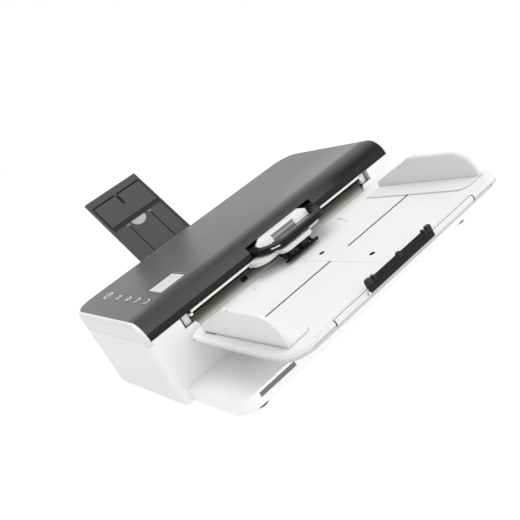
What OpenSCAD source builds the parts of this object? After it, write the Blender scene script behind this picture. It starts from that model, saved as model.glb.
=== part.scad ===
// Sheet fed document scanner: clamshell lid, lifting input tray, rear exit tray.
// Millimetres. X runs to the user's right, Y to the back, Z up from the table.

/* [Body] */
// Overall width over the white end caps
body_w = 404; // [398:1:420]
// Depth from the datum at the front lip to the rear wall
body_d = 219; // [215:1:235]
// Height of the parting line between base and lid
seam_z = 88; // [86:0.5:96]
// Height of the lid above the parting line
lid_h = 22.5; // [22:0.5:27]
// Radius of the rolled front edge of the lid
roll_r = 24; // [22:0.5:25]
// Radius of the rear corners seen from above
corner_r = 32; // [26:1:36]
// Width of the white band round the dark cover
cap_t = 5; // [4:0.5:6]
// Wall thickness of the mouldings
wall = 2.5; // [2:0.1:2.8]
// Height of the rubber feet
foot_h = 4; // [3:0.5:5]
// Gap along the parting line and round parts that move
part_gap = 0.3; // [0.3:0.05:0.4]

/* [Front platform] */
// Reach of the low platform under the tray
platform_reach = 108; // [90:1:120]
// How far the platform stands in from the body at each end
platform_inset = 10; // [4:0.5:20]
// Height of the platform over its lower edge
platform_h = 16; // [14:0.5:20]
// Width of each grip slit in the platform front
grip_w = 50; // [30:1:60]

/* [Paper path] */
// Width of each end column beside the paper path
column_w = 45; // [44:0.5:47]
// Radius of the drive tyres
drive_r = 10; // [9:0.25:11]
// Radius of the pressure tyres in the lid
press_r = 8.5; // [8.25:0.25:9]
// Radius of the feed and separation rollers
feed_r = 10; // [9.5:0.25:10.5]
// Radius of the roller shafts
shaft_r = 3; // [2.5:0.1:3.2]
// Running clearance of a shaft in its bore
run_gap = 0.05; // [0.03:0.01:0.08]

/* [Input tray] */
// How far the tray rim reaches past the paper path at each end
tray_over = 4; // [1:0.5:7]
// Reach of the tray in front of the datum
tray_reach = 198; // [190:1:215]
// Height of the tray surface under the parting line
tray_fall = 20; // [19:0.5:22]
// Travel of the tray lift
lift_drop = 22; // [12:1:24]
// Height of the side guides over the tray
guide_h = 34; // [26:0.5:38]
// How far the side guides stand in from the paper path as shown
guide_inset = 13.5; // [12:0.5:17]
// Width of the pull-out tray extension
extension_w = 210; // [190:2:230]

/* [Rear tray] */
// Width of the rear tray
rear_w = 92; // [80:1:110]
// Length of the rear tray from its hinge
rear_l = 165; // [150:1:180]
// Slope of the rear tray as shown
rear_slope = 50; // [46:1:55]
// Place of the rear tray across the machine
rear_x = -28; // [-40:1:0]

/* [Latch and keys] */
// Place of the latch across the machine
latch_x = 10.5; // [0:0.5:14]
// Width of the bowed latch handle
handle_w = 104; // [96:1:108]
// Reach of the handle in front of the datum
handle_reach = 32; // [28:0.5:34]
// Radius of the small keys
key_r = 6; // [5:0.25:6.5]
// Radius of the power key
power_key_r = 7.5; // [6.5:0.25:8]
// Stroke of the keys
key_stroke = 1; // [0.8:0.1:1.2]
// Side of the square display window
window_w = 40; // [32:1:46]

/* [Hidden] */
$fn = 48;
white = "#e9e9e5";
shade = "#cfcfcb";
dark = "#57575a";
black = "#202022";
steel = "#a9abad";
glass = "#b9c4c8";
green = "#3f6b4a";

half_w = body_w / 2;
cover_hw = half_w - cap_t;
lip_y = 3;
lid_top = seam_z + lid_h;
roll_y = lip_y + roll_r;
roll_z = lid_top - roll_r;
base_top = seam_z - part_gap;
platform_top = foot_h + platform_h;
pan_top = foot_h + 2;
platform_hw = half_w - platform_inset;

path_hw = half_w - column_w;
path_z = seam_z - 9;
plate_z = path_z - 0.8;
liner_z = path_z + 3;
liner_top = liner_z + wall;
frame_x = path_hw + wall + 0.5;
frame_t = 2;
nip = 0.2;
feed_y = 25;
entry_y = 62;
exit_y = body_d - 69;
sensor_y = (entry_y + exit_y) / 2;
sensor_hw = path_hw - 6;
sensor_d = 24;
sensor_h = 21.8;
scan_glass_d = 18;
path_end = body_d - 19;
drive_z = path_z - nip - drive_r;
press_z = path_z + nip + press_r;
press_shaft_r = shaft_r - 0.5;
feed_z = path_z + nip + feed_r;
separation_z = path_z - nip - feed_r;
tyre_w = 28;
tyre_x = [for (k = [-110, -40, 40, 110]) k * path_hw / 157];

gear_m = 0.8;
gear_n = 36;
pinion_n = 16;
slack = 0.25;
gear_x = path_hw + 15;
gear_w = 5;
pinion_z = drive_z - gear_m * (gear_n + pinion_n) / 2;
pulley_r = 8;
pulley_x = gear_x - 4.6;
belt_t = 1.5;

tray_hw = path_hw + tray_over;
tray_z = seam_z - tray_fall;
tray_skin = 3;
rim_r = 2.7;
tray_low = tray_z - 2 * rim_r;
floor_z = tray_z - 8;
band_low = floor_z - 0.8;
pan_low = floor_z - 4;
mouth_z = pan_low - lift_drop - 3;
wall_top = tray_z - 1.7;
ramp_y = lip_y + wall + 0.7;
gear_low = floor_z + 0.6;
gear_high = tray_z - tray_skin - 0.6;
slot_y = 104 - tray_reach;
slot_in = 14;
slot_t = 2.6;
guide_in = path_hw - guide_inset;
guide_front = 19 - tray_reach;
guide_rear = -16;
guide_t = 6.5;
foot_w = 26.5;
neck_x = guide_in - 18.5;
guide_in_run = 92;
guide_out_run = min(9, tray_hw - guide_in - guide_t - 1);
rack_m = 1;
guide_pinion_n = 20;
guide_pinion_r = rack_m * guide_pinion_n / 2;
lift_n = 16;
lift_r = rack_m * lift_n / 2;
lift_y = 26;
lift_z = foot_h + 34;
lift_pinion_x = path_hw - 40;

extension_hw = extension_w / 2;
lip_t = 7;
tongue_l = 78;
stop_x = -11;
stop_hw = 48;
stop_t = 2.4;
stop_y = -tray_reach - 1.8;
stop_z = tray_z - 2.5;
stop_h = 8.5;
stop_pin_r = 0.9;

hinge_y = body_d - 6;
hinge_z = seam_z;
hinge_r = 5.5;
hinge_pin_r = shaft_r;
knuckle_x = path_hw + 5;
knuckle_w = 6;
ear_w = 3;

rear_y = body_d + 5;
rear_z = seam_z - 18;
rear_t = 5;
rear_pin_r = 2.5;
exit_z = rear_z + 5;
panel_start = rear_l - 56;
strip_start = rear_l - 12;
rail = 2.8;

latch_y = 12.5;
latch_z = seam_z + 6;
latch_r = 2.5;
handle_hw = handle_w / 2;
arm_t = 10;
bar_d = 11.5;
hook_x = path_hw - 8;
hook_w = 8;
striker_y = latch_y + 1;
striker_z = path_z + 0.6;
nose_hw = 24;
nose_reach = 34;
shoulder_hw = 52;
shoulder_reach = 20;
pick_y = -20;
pick_r = 7;
pick_z = tray_z + 2 + pick_r;

key_x = 41 - half_w;
small_key_y = [136.5, 106, 78.5, 53];
power_key_y = 172.5;
key_rise = 0.15;
board_z = lid_top - 12.5;
window_x = 78 - half_w;
window_y = 66;

y_front = -tray_reach - 3;
y_back = rear_y + rear_l * cos(rear_slope) + rear_t / 2 * sin(rear_slope);
y_mid = (y_front + y_back) / 2;

// Shared shapes

module block(x, y, z) {
    translate([x[0], y[0], z[0]]) cube([x[1] - x[0], y[1] - y[0], z[1] - z[0]]);
}

module both_sides() {
    children();
    mirror([1, 0, 0]) children();
}

// Extrudes an outline drawn in Y and Z along X
module along_x(x0, x1) {
    translate([x0, 0, 0]) rotate([90, 0, 90]) linear_extrude(height = x1 - x0) children();
}

module slab(z0, z1) {
    translate([0, 0, z0]) linear_extrude(height = z1 - z0) children();
}

module rod_x(x0, x1, y, z, r) {
    translate([x0, y, z]) rotate([0, 90, 0]) cylinder(h = x1 - x0, r = r);
}

// Rectangle seen from above with its own front and rear corner radius
module plan(hw, y0, y1, front_r, rear_r) intersection() {
    translate([-hw, y0]) square([2 * hw, y1 - y0]);
    union() {
        translate([-hw, y0 + front_r]) square([2 * hw, y1 - y0 - front_r - rear_r]);
        translate([front_r - hw, y0]) square([2 * (hw - front_r), y1 - y0 - rear_r]);
        translate([rear_r - hw, y1 - rear_r]) square([2 * (hw - rear_r), rear_r]);
        for (s = [-1, 1]) {
            translate([s * (hw - front_r), y0 + front_r]) circle(front_r);
            translate([s * (hw - rear_r), y1 - rear_r]) circle(rear_r);
        }
    }
}

module body_plan(inset = 0) {
    plan(half_w - inset, lip_y + inset, body_d - inset, 6 - inset, corner_r - inset);
}

module platform_plan(inset = 0) {
    plan(platform_hw - inset, inset - platform_reach, lip_y + 7, 25 - inset, 1);
}

function involute(a) = tan(a) * 180 / PI - a;

// Half the angle that a tooth takes at radius r
function half_tooth(r, m, n) =
    let (rp = m * n / 2, rb = rp * cos(20))
    (PI * m / 2 - slack) / 2 / rp * 180 / PI + involute(20) - involute(acos(min(1, rb / r)));

module gear_outline(m, n) {
    radii = [m * n / 2 - 1.25 * m, m * n / 2, m * n / 2 + 0.9 * m];
    steps = [[-1, 0], [-1, 1], [-1, 2], [1, 2], [1, 1], [1, 0]];
    polygon([for (k = [0:n - 1]) for (s = steps)
        let (r = radii[s[1]], a = k * 360 / n + s[0] * half_tooth(r, m, n)) [r * cos(a), r * sin(a)]]);
}

// Rack with a gap at x = 0, its pitch line on y = 0 and its teeth towards +y
module rack_outline(m, first, last, depth, x0, x1) {
    half = (PI * m / 2 - slack) / 2;
    tip = half - 0.9 * m * tan(20);
    root = half + 1.25 * m * tan(20);
    teeth = [for (k = [first:last]) for (p = [[-root, -1.25], [-tip, 0.9], [tip, 0.9], [root, -1.25]])
        [(k + 0.5) * PI * m + p[0], p[1] * m]];
    polygon(concat([[x0, -depth], [x0, -1.25 * m]], teeth, [[x1, -1.25 * m], [x1, -depth]]));
}

// Base

module base_housing() color(white) {
    ear_x = [[knuckle_x - part_gap - ear_w, knuckle_x - part_gap],
        [knuckle_x + knuckle_w + part_gap, knuckle_x + knuckle_w + part_gap + ear_w]];
    difference() {
        union() {
            slab(foot_h, base_top) body_plan();
            slab(foot_h, platform_top) platform_plan();
        }
        difference() {
            slab(foot_h - 1, seam_z) body_plan(wall);
            both_sides() block([path_hw, path_hw + wall], [lip_y, lip_y + 13], [foot_h + 3, seam_z]);
        }
        slab(foot_h - 1, platform_top - wall) intersection() {
            platform_plan(wall);
            translate([-half_w, -platform_reach]) square([body_w, platform_reach + lip_y]);
        }
        difference() {
            block([-path_hw, path_hw], [lip_y - 1, lip_y + wall + 1], [wall_top, seam_z]);
            both_sides() mouth_corner();
        }
        both_sides() block([lift_pinion_x - 7.5, lift_pinion_x + 4], [lip_y - 1, lip_y + wall + 1],
            [mouth_z, pan_low + 5]);
        both_sides() cap_lobe(part_gap);
        block([wall - platform_hw, platform_hw - wall], [lip_y - 1, lip_y + wall + 1], [foot_h - 1, pan_top + 0.2]);
        block([-path_hw, path_hw], [body_d - wall - 1, body_d + 1], [exit_z, seam_z]);
        both_sides() block([platform_hw - 25 - grip_w, platform_hw - 25],
            [-platform_reach - 1, wall + 1 - platform_reach], [platform_top - 8.5, platform_top - 3]);
        both_sides() rod_x(knuckle_x - part_gap, knuckle_x + knuckle_w + part_gap, hinge_y, hinge_z,
            hinge_r + 2 * part_gap);
        block(socket_x + [-0.3, 0.3], [body_d - wall - 1, body_d + 1], socket_z + [-0.3, 0.3]);
        block(inlet_x + [-0.3, 0.3], [body_d - wall - 1, body_d + 1], socket_z + [-0.3, 0.3]);
    }
    both_sides() for (x = ear_x) difference() {
        union() {
            rod_x(x[0], x[1], hinge_y, hinge_z, hinge_r);
            block(x, [hinge_y - hinge_r, body_d - wall + 0.01], [seam_z - 26, hinge_z]);
        }
        rod_x(x[0] - 1, x[1] + 1, hinge_y, hinge_z, hinge_pin_r + run_gap);
    }
    for (x = lug_x) difference() {
        union() {
            rod_x(x[0], x[1], rear_y, rear_z, 5);
            block(x, [body_d - 0.01, rear_y], [rear_z - 9, rear_z]);
        }
        rod_x(x[0] - 1, x[1] + 1, rear_y, rear_z, rear_pin_r + run_gap);
    }
}

// Leaning corner piece at the end of the paper mouth
module mouth_corner() translate([0, lip_y + wall, 0]) rotate([90, 0, 0]) linear_extrude(height = wall)
    polygon([[path_hw - 18, wall_top - 1], [path_hw + 1, wall_top - 1], [path_hw + 1, tray_z + 6.5],
        [path_hw - 14.5, tray_z + 6.5], [path_hw - 18, wall_top]]);

socket_x = [path_hw - 87, path_hw - 71];
inlet_x = [path_hw - 53, path_hw - 39];
board_x = [path_hw - 137, path_hw - 17];
board_y = [body_d - 87, body_d - wall - 4];
board_t = 1.6;
board_low = pan_top + 4;
socket_z = [board_low + board_t, board_low + board_t + 13];
lug_x = [[rear_x - rear_w / 2 - 4.4, rear_x - rear_w / 2 - 0.4],
    [rear_x + rear_w / 2 + 0.4, rear_x + rear_w / 2 + 4.4]];
board_posts = [for (x = board_x + [10, -10], y = board_y + [8, -22.5]) [x, y]];
foot_at = [for (x = [-1, 1], y = [12 - platform_reach, body_d - 36]) [x * (platform_hw - 26), y]];

module base_pan() color(shade) {
    gap = wall + 0.15;
    slab(foot_h, pan_top) {
        body_plan(gap);
        platform_plan(gap);
    }
    for (p = board_posts) translate([p[0], p[1], pan_top - 0.01]) cylinder(h = board_low - pan_top + 0.01, r = 4);
}

module rubber_feet() color(black)
    for (p = foot_at) translate([p[0], p[1], 0]) cylinder(h = foot_h, r1 = 8, r2 = 9);

module side_frame() {
    holes = [[entry_y, drive_z], [exit_y, drive_z], [lift_y, lift_z]];
    difference() {
        block([frame_x, frame_x + frame_t], [lip_y + wall + 3, path_end + 2], [pan_top + 0.2, plate_z - 1]);
        for (h = holes) rod_x(frame_x - 1, frame_x + frame_t + 1, h[0], h[1], shaft_r + 2.6);
        rod_x(frame_x - 1, frame_x + frame_t + 1, entry_y, pinion_z, 5);
        block([frame_x - 1, frame_x + frame_t + 1], [85, 135], [20, 50]);
    }
}

module left_side_frame() color(steel) mirror([1, 0, 0]) side_frame();
module right_side_frame() color(steel) side_frame();

module lower_guide_plate() color(white) difference() {
    union() {
        block([0.3 - frame_x, frame_x - 0.3], [lip_y + 11.5, path_end], [plate_z - wall, plate_z]);
        along_x(14.5 - path_hw, path_hw - 14.5) polygon([[ramp_y, tray_z - 1.5], [ramp_y, tray_z + 1],
            [lip_y + 12, plate_z], [lip_y + 12, plate_z - wall], [ramp_y + wall, tray_z - 1.5]]);
        both_sides() block([27, 31], [feed_y - 7, feed_y + 7], [separation_z - 6, plate_z - 1]);
    }
    for (x = tyre_x, y = [entry_y, exit_y]) block([x - tyre_w / 2 - 1, x + tyre_w / 2 + 1],
        [y - drive_r, y + drive_r], [plate_z - wall - 1, plate_z + 1]);
    block([-23, 23], [lip_y + 8.5, feed_y + feed_r + 1], [separation_z - feed_r - 2, plate_z + 1]);
    block([0.7 - sensor_hw, sensor_hw - 0.7],
        [sensor_y - scan_glass_d / 2 - part_gap, sensor_y + scan_glass_d / 2 + part_gap],
        [plate_z - wall - 1, plate_z + 1]);
    both_sides() block([hook_x - hook_w / 2 - 2, frame_x], [lip_y, lip_y + 17], [plate_z - wall - 1, plate_z + 1]);
    rod_x(-40, 40, feed_y, separation_z, shaft_r + run_gap);
}

module lower_image_sensor() color(black)
    block([-sensor_hw, sensor_hw], [sensor_y - sensor_d / 2, sensor_y + sensor_d / 2],
        [plate_z - wall - 0.2 - sensor_h, plate_z - wall - 0.2]);

module lower_scan_glass() color(glass)
    block([1 - sensor_hw, sensor_hw - 1], [sensor_y - scan_glass_d / 2, sensor_y + scan_glass_d / 2],
        [plate_z - wall, plate_z - 0.2]);

module latch_strikers() color(steel)
    both_sides() rod_x(hook_x - hook_w / 2 - 1, path_hw, striker_y, striker_z, 1.5);

module lid_hinge_pins() color(steel)
    both_sides() rod_x(knuckle_x - ear_w, knuckle_x + knuckle_w + ear_w, hinge_y, hinge_z, hinge_pin_r);

module main_board() color(green)
    block(board_x, board_y, [board_low, board_low + board_t]);

module data_socket() color(steel) difference() {
    block(socket_x, [body_d - 18, body_d - 0.5], socket_z);
    block(socket_x + [1.8, -1.8], [body_d - 13, body_d], socket_z + [1.5, -1.5]);
}

module power_inlet() color(black) difference() {
    block(inlet_x, [body_d - 16, body_d - 0.5], socket_z);
    translate([(inlet_x[0] + inlet_x[1]) / 2, body_d - 12, (socket_z[0] + socket_z[1]) / 2])
        rotate([-90, 0, 0]) cylinder(h = 20, r = 4.5);
}

module transport_motor() color(steel) mirror([1, 0, 0]) {
    rod_x(frame_x - 33, frame_x - 0.8, entry_y, pinion_z, 16);
    rod_x(frame_x - 0.9, gear_x - 2, entry_y, pinion_z, 2.5);
}

module lift_motor() color(steel) difference() {
    rod_x(frame_x + frame_t + 0.2, frame_x + frame_t + 28, lift_y, lift_z, 14);
    rod_x(frame_x, frame_x + frame_t + 12.5, lift_y, lift_z, shaft_r + run_gap);
}

module roller_bushes() color(white)
    both_sides() for (h = [[entry_y, drive_z], [exit_y, drive_z], [lift_y, lift_z]]) difference() {
        rod_x(frame_x - 0.5, frame_x + frame_t + (h[0] == lift_y ? 0 : 0.6), h[0], h[1], shaft_r + 2.5);
        rod_x(frame_x - 2, frame_x + frame_t + 2, h[0], h[1], shaft_r + run_gap);
    }

module drive_belt() color(black) {
    r = pulley_r + 0.3;
    along_x(-pulley_x - 2.5, 2.5 - pulley_x) difference() {
        for (k = [0, 1]) union() {
            translate([entry_y, drive_z]) circle(r + belt_t);
            translate([exit_y, drive_z]) circle(r + belt_t);
            translate([entry_y, drive_z - r - belt_t]) square([exit_y - entry_y, 2 * (r + belt_t)]);
        }
        translate([entry_y, drive_z]) circle(r);
        translate([exit_y, drive_z]) circle(r);
        translate([entry_y, drive_z - r]) square([exit_y - entry_y, 2 * r]);
    }
}

// Drive

module drive_shaft(y) rod_x(-gear_x - gear_w - 2, frame_x + frame_t + 4, y, drive_z, shaft_r);

module tyres(y, z, r, bore_r) for (x = tyre_x) difference() {
    rod_x(x - tyre_w / 2, x + tyre_w / 2, y, z, r);
    rod_x(x - tyre_w, x + tyre_w, y, z, bore_r);
}

module pulley(y) difference() {
    union() {
        rod_x(-pulley_x - 3, 3 - pulley_x, y, drive_z, pulley_r);
        rod_x(3 - pulley_x, 4 - pulley_x, y, drive_z, pulley_r + 2.5);
    }
    rod_x(-pulley_x - 6, 6 - pulley_x, y, drive_z, shaft_r + run_gap);
}

module entry_drive_shaft() color(steel) drive_shaft(entry_y);
module entry_drive_tyres() color(black) tyres(entry_y, drive_z, drive_r, shaft_r + run_gap);

module drive_gear() color(white) {
    pulley(entry_y);
    difference() {
        along_x(-gear_x - gear_w, -gear_x) translate([entry_y, drive_z]) gear_outline(gear_m, gear_n);
        rod_x(-gear_x - gear_w - 1, 1 - gear_x, entry_y, drive_z, shaft_r + run_gap);
    }
    difference() {
        rod_x(-gear_x - 0.01, -pulley_x - 2.99, entry_y, drive_z, shaft_r + 2);
        rod_x(-gear_x - 1, -pulley_x, entry_y, drive_z, shaft_r + run_gap);
    }
}

module exit_drive_shaft() color(steel) {
    drive_shaft(exit_y);
    difference() {
        pulley(exit_y);
        rod_x(-pulley_x - 9, 9 - pulley_x, exit_y, drive_z, shaft_r - 0.01);
    }
    rod_x(-pulley_x - 3, 4 - pulley_x, exit_y, drive_z, shaft_r + 1);
}

module exit_drive_tyres() color(black) tyres(exit_y, drive_z, drive_r, shaft_r + run_gap);

module motor_pinion() color(white) difference() {
    along_x(-gear_x - gear_w, -gear_x) translate([entry_y, pinion_z])
        rotate(180 / pinion_n) gear_outline(gear_m, pinion_n);
    rod_x(-gear_x - gear_w - 1, 1 - gear_x, entry_y, pinion_z, 2.5 + run_gap);
}

module separation_roller() color(black) {
    rod_x(-33, 33, feed_y, separation_z, shaft_r);
    rod_x(-20, 20, feed_y, separation_z, feed_r);
}

module lift_shaft() color(steel) {
    rod_x(-frame_x - frame_t - 2, frame_x + frame_t + 12, lift_y, lift_z, shaft_r);
    both_sides() along_x(lift_pinion_x - 3, lift_pinion_x + 3) translate([lift_y, lift_z])
        gear_outline(rack_m, lift_n);
}

// Input tray

// Slab with a full round rim, before anything is cut out of it
module tray_blank() hull() for (a = [-90:30:90])
    translate([0, 0, tray_low + rim_r + rim_r * sin(a) - 0.005]) linear_extrude(height = 0.01)
        plan(tray_hw - rim_r * (1 - cos(a)), rim_r * (1 - cos(a)) - tray_reach, 0.5 - rim_r * (1 - cos(a)),
            25 - rim_r * (1 - cos(a)), 14 - rim_r * (1 - cos(a)));

module extension_room(gap) {
    block([-extension_hw - gap, extension_hw + gap], [-tray_reach - 5, lip_t - tray_reach + gap],
        [band_low - 1, tray_z + 1]);
}

// Fine groove along the front between the tray surface and its lip
module lip_line() block([25 - tray_hw, tray_hw - 25], [2.6 - tray_reach, 3.2 - tray_reach],
    [tray_z - 1.5, tray_z + 1]);

module input_tray() color(white) difference() {
    tray_blank();
    slab(tray_low - 1, tray_z - tray_skin) plan(tray_hw - 5, 5 - tray_reach, -3, 20, 9);
    extension_room(part_gap);
    lip_line();
    for (s = [-1, 1]) block([min(s * slot_in, s * (neck_x + 18)), max(s * slot_in, s * (neck_x + 18))],
        [slot_y - slot_t / 2, slot_y + slot_t / 2], [tray_z - 5, tray_z + 1]);
    for (y = [135.3, 51.6]) translate([0, y - tray_reach, tray_z - 5]) cylinder(h = 8, r = 2.4);
}

// Shallow band under the rim, flush at the front and set back at the sides
module under_band() slab(band_low, tray_low - 0.05) plan(tray_hw - 6, 1 - tray_reach, -4, 24, 8);

module tray_underpan() color(white) {
    difference() {
        under_band();
        slab(band_low - 1, tray_low) plan(tray_hw - 14, 17 - tray_reach, -9, 12, 4);
        block([-extension_hw - part_gap, extension_hw + part_gap], [-tray_reach - 5, 20 - tray_reach],
            [band_low - 1, tray_low]);
    }
    slab(pan_low, floor_z) plan(tray_hw - 12, 15 - tray_reach, -5, 13, 4);
    both_sides() block([lift_pinion_x - 6.5, lift_pinion_x + 3], [-8, lift_y - lift_r - 4], [pan_low, pan_low + 3]);
    translate([0, slot_y, floor_z - 0.1]) cylinder(h = gear_high - floor_z, r = 3);
}

module lift_racks() color(shade) both_sides() intersection() {
    along_x(lift_pinion_x - 3, lift_pinion_x + 3) translate([lift_y - lift_r, lift_z]) rotate(-90)
        rack_outline(rack_m, -13, 3, 4, -lift_drop - 14, 10);
    block([0, half_w], [0, body_d], [pan_low - 22, tray_z - 2]);
}

module guide_pinion() color(black) translate([0, slot_y, 0]) difference() {
    slab(gear_low, gear_high) gear_outline(rack_m, guide_pinion_n);
    translate([0, 0, floor_z]) cylinder(h = 20, r = 3 + run_gap);
}

// Arched guide wall of the right-hand side, with a thin foot over the tray
module guide() {
    top = tray_z + guide_h;
    low = tray_z + 0.3;
    rear = [[4, 0], [5, 0.2], [72, 0.98], [75, 1]];
    front = [[49, 0.04], [23, 0.065], [14, 0.17], [8.5, 0.28], [5, 0.39], [1.5, 0.59], [0.3, 0.8], [0, 0.99]];
    arch = concat([for (p = rear) [guide_rear - p[0], low + p[1] * guide_h]],
        [for (p = front) [guide_front + p[0], top - p[1] * guide_h]]);
    round_r = 1.6;
    hull() for (s = [[0, round_r], [round_r, 0], [guide_t - round_r, 0], [guide_t, round_r]])
        along_x(guide_in + s[0] - 0.005, guide_in + s[0] + 0.005)
            intersection() {
                offset(delta = -s[1]) polygon(arch);
                translate([-tray_reach, low]) square([tray_reach + 20, 100]);
            }
    slab(low, low + 1.2) intersection() {
        translate([guide_in - foot_w, guide_front]) square([foot_w + guide_t, guide_rear - guide_front - 8]);
        translate([guide_in - foot_w, guide_front]) union() {
            translate([0, 12]) square([foot_w + guide_t, guide_rear - guide_front - 20]);
            translate([12, 0]) square([foot_w + guide_t - 12, 20]);
            translate([12, 12]) circle(12);
        }
    }
    block([neck_x - 6, neck_x + 6], [slot_y - slot_t / 2 + 0.3, slot_y + slot_t / 2 - 0.3],
        [gear_high, low + 0.01]);
}

module guide_rack() {
    slab(gear_low, gear_high) translate([0, slot_y - guide_pinion_r])
        rack_outline(rack_m, -5, 31, 6, -20, neck_x + 9);
    block([neck_x - 9, neck_x + 8], [slot_y - guide_pinion_r - 5, slot_y + 3], [gear_low, gear_high]);
}

module right_guide() color(white) guide();
module right_guide_rack() color(black) guide_rack();
module left_guide() color(white) mirror([1, 0, 0]) guide();
module left_guide_rack() color(black) translate([0, 2 * slot_y, 0]) rotate([0, 0, 180]) guide_rack();

module tray_extension() color(white) difference() {
    union() {
        intersection() {
            union() {
                tray_blank();
                slab(band_low, tray_low + 1) plan(tray_hw - 6, 1 - tray_reach, -4, 24, 8);
            }
            block([-extension_hw, extension_hw], [-tray_reach - 5, lip_t - tray_reach], [band_low, tray_z + 1]);
        }
        block([-extension_hw, extension_hw], [lip_t - tray_reach - 0.01, lip_t - tray_reach + tongue_l],
            [gear_low, gear_high]);
        for (s = [-1, 1]) translate([stop_x + s * (stop_hw + part_gap + 1.5), 0, 0]) {
            rod_x(-1.5, 1.5, stop_y, stop_z, stop_t / 2);
            block([-1.5, 1.5], [stop_y, 4 - tray_reach], [stop_z - stop_t / 2, stop_z + stop_t / 2]);
        }
    }
    lip_line();
    rod_x(stop_x - stop_hw - 5, stop_x + stop_hw + 5, stop_y, stop_z, stop_pin_r + run_gap);
}

// Upright flap that keeps the sheets from sliding off, on a pin in front of the lip
module end_stop() color(black) translate([stop_x, 0, 0]) {
    top = tray_z + stop_h;
    along_x(-stop_hw, stop_hw) {
        translate([stop_y, stop_z]) circle(stop_t / 2);
        translate([stop_y - stop_t / 2, stop_z]) square([stop_t, top - stop_z - stop_t / 2]);
        translate([stop_y, top - stop_t / 2]) circle(stop_t / 2);
    }
    for (x = [-stop_hw, -2.5, stop_hw - 5]) {
        rod_x(x, x + 5, stop_y + 1, top - 1.2, 2.2);
        block([x, x + 5], [stop_y - stop_t / 2, stop_y + 3.2], [tray_z + 1.4, top - 1.2]);
    }
    rod_x(-stop_hw - 3.2, stop_hw + 3.2, stop_y, stop_z, stop_pin_r);
}

// Lid

// Side outline of the lid: rolled front edge, flat top
module lid_profile(inset = 0, rear = body_d) intersection() {
    union() {
        translate([roll_y, roll_z]) circle(roll_r - inset, $fn = 96);
        translate([roll_y, seam_z - roll_r]) square([rear - roll_y, lid_h + roll_r - inset]);
        translate([lip_y + inset, seam_z - roll_r]) square([rear - lip_y - inset, roll_z - seam_z + roll_r]);
    }
    translate([-10, seam_z - (inset > 0 ? 5 : 0)]) square([body_d + 60, lid_h + 20]);
}

module cover_plan() plan(cover_hw, -10, body_d - cap_t, 1, corner_r - cap_t);

// Clearance behind the lid hinge for the opening swing
module swing_relief() {
    along_x(-half_w - 1, half_w + 1)
        polygon([[hinge_y, seam_z - 12], [body_d + 20, seam_z - 12], [body_d + 20, seam_z + 32],
            [hinge_y, hinge_z]]);
    both_sides() rod_x(knuckle_x - ear_w - 1, knuckle_x + knuckle_w + ear_w + 1, hinge_y, hinge_z,
        hinge_r + 2 * part_gap);
}

module lid_cover() color(dark) difference() {
    intersection() {
        along_x(-cover_hw, cover_hw) lid_profile();
        slab(seam_z - 5, lid_top + 5) cover_plan();
    }
    along_x(-cover_hw - 1, cover_hw + 1) lid_profile(wall, body_d + 5);
    block([latch_x - handle_hw - 1.5, latch_x + handle_hw + 1.5], [lip_y - 5, roll_y - 10], [seam_z - 1, seam_z + 15]);
    along_x(-cover_hw - 1, cover_hw + 1) difference() {
        translate([lip_y - 5, seam_z - 1]) square([14, 9]);
        translate([roll_y, roll_z]) circle(roll_r - 0.6, $fn = 96);
    }
    block([window_x - window_w / 2, window_x + window_w / 2], [window_y - window_w / 2, window_y + window_w / 2],
        [lid_top - wall - 1, lid_top + 1]);
    for (y = small_key_y) key_hole(y, key_r);
    key_hole(power_key_y, power_key_r);
}

module key_hole(y, r)
    translate([key_x, y, lid_top - wall - 1]) cylinder(h = wall + 2, r = r + part_gap);

// White shell round the dark cover, with a soft outer edge
module lid_band() difference() {
    intersection() {
        slab(seam_z, lid_top) body_plan();
        hull() for (a = [0:22.5:90])
            along_x(-half_w + cap_t * (1 - cos(a)), half_w - cap_t * (1 - cos(a)))
                offset(delta = -0.9 * cap_t * (1 - sin(90 - a))) lid_profile();
        along_x(-half_w, half_w) lid_profile();
        hull() for (a = [0:22.5:90]) slab(seam_z - 9, lid_top - cap_t * (1 - sin(a)))
            body_plan(cap_t * (1 - cos(a)));
    }
    slab(seam_z - 1, lid_top + 1) cover_plan();
    swing_relief();
}

// Lobe of the end cap that dips below the parting line at the front corner
module cap_lobe(gap = 0) intersection() {
    slab(seam_z - 10, seam_z + 1) plan(half_w + gap, lip_y - gap, body_d, 6, corner_r);
    along_x(cover_hw - gap, half_w + gap) {
        translate([lip_y + 9, seam_z]) circle(4 + gap);
        translate([lip_y - gap, seam_z - 4 - gap]) square([9 + gap, 5 + gap]);
    }
}

module right_end_cap() color(white) {
    intersection() {
        lid_band();
        block([panel_hw, half_w + 1], [-5, body_d + 1], [seam_z - 1, lid_top + 1]);
    }
    cap_lobe();
}

module left_end_cap() color(white) mirror([1, 0, 0]) right_end_cap();

panel_hw = half_w - corner_r - 1;

module lid_rear_panel() color(white) intersection() {
    lid_band();
    block([-panel_hw, panel_hw], [body_d - 20, body_d + 1], [seam_z - 1, lid_top + 1]);
}

latch_ears = [handle_hw + latch_x + 8, path_hw - 29];
boss_at = [for (x = [37 - path_hw, path_hw - 37], y = [40, body_d - 34]) [x, y]];

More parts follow.
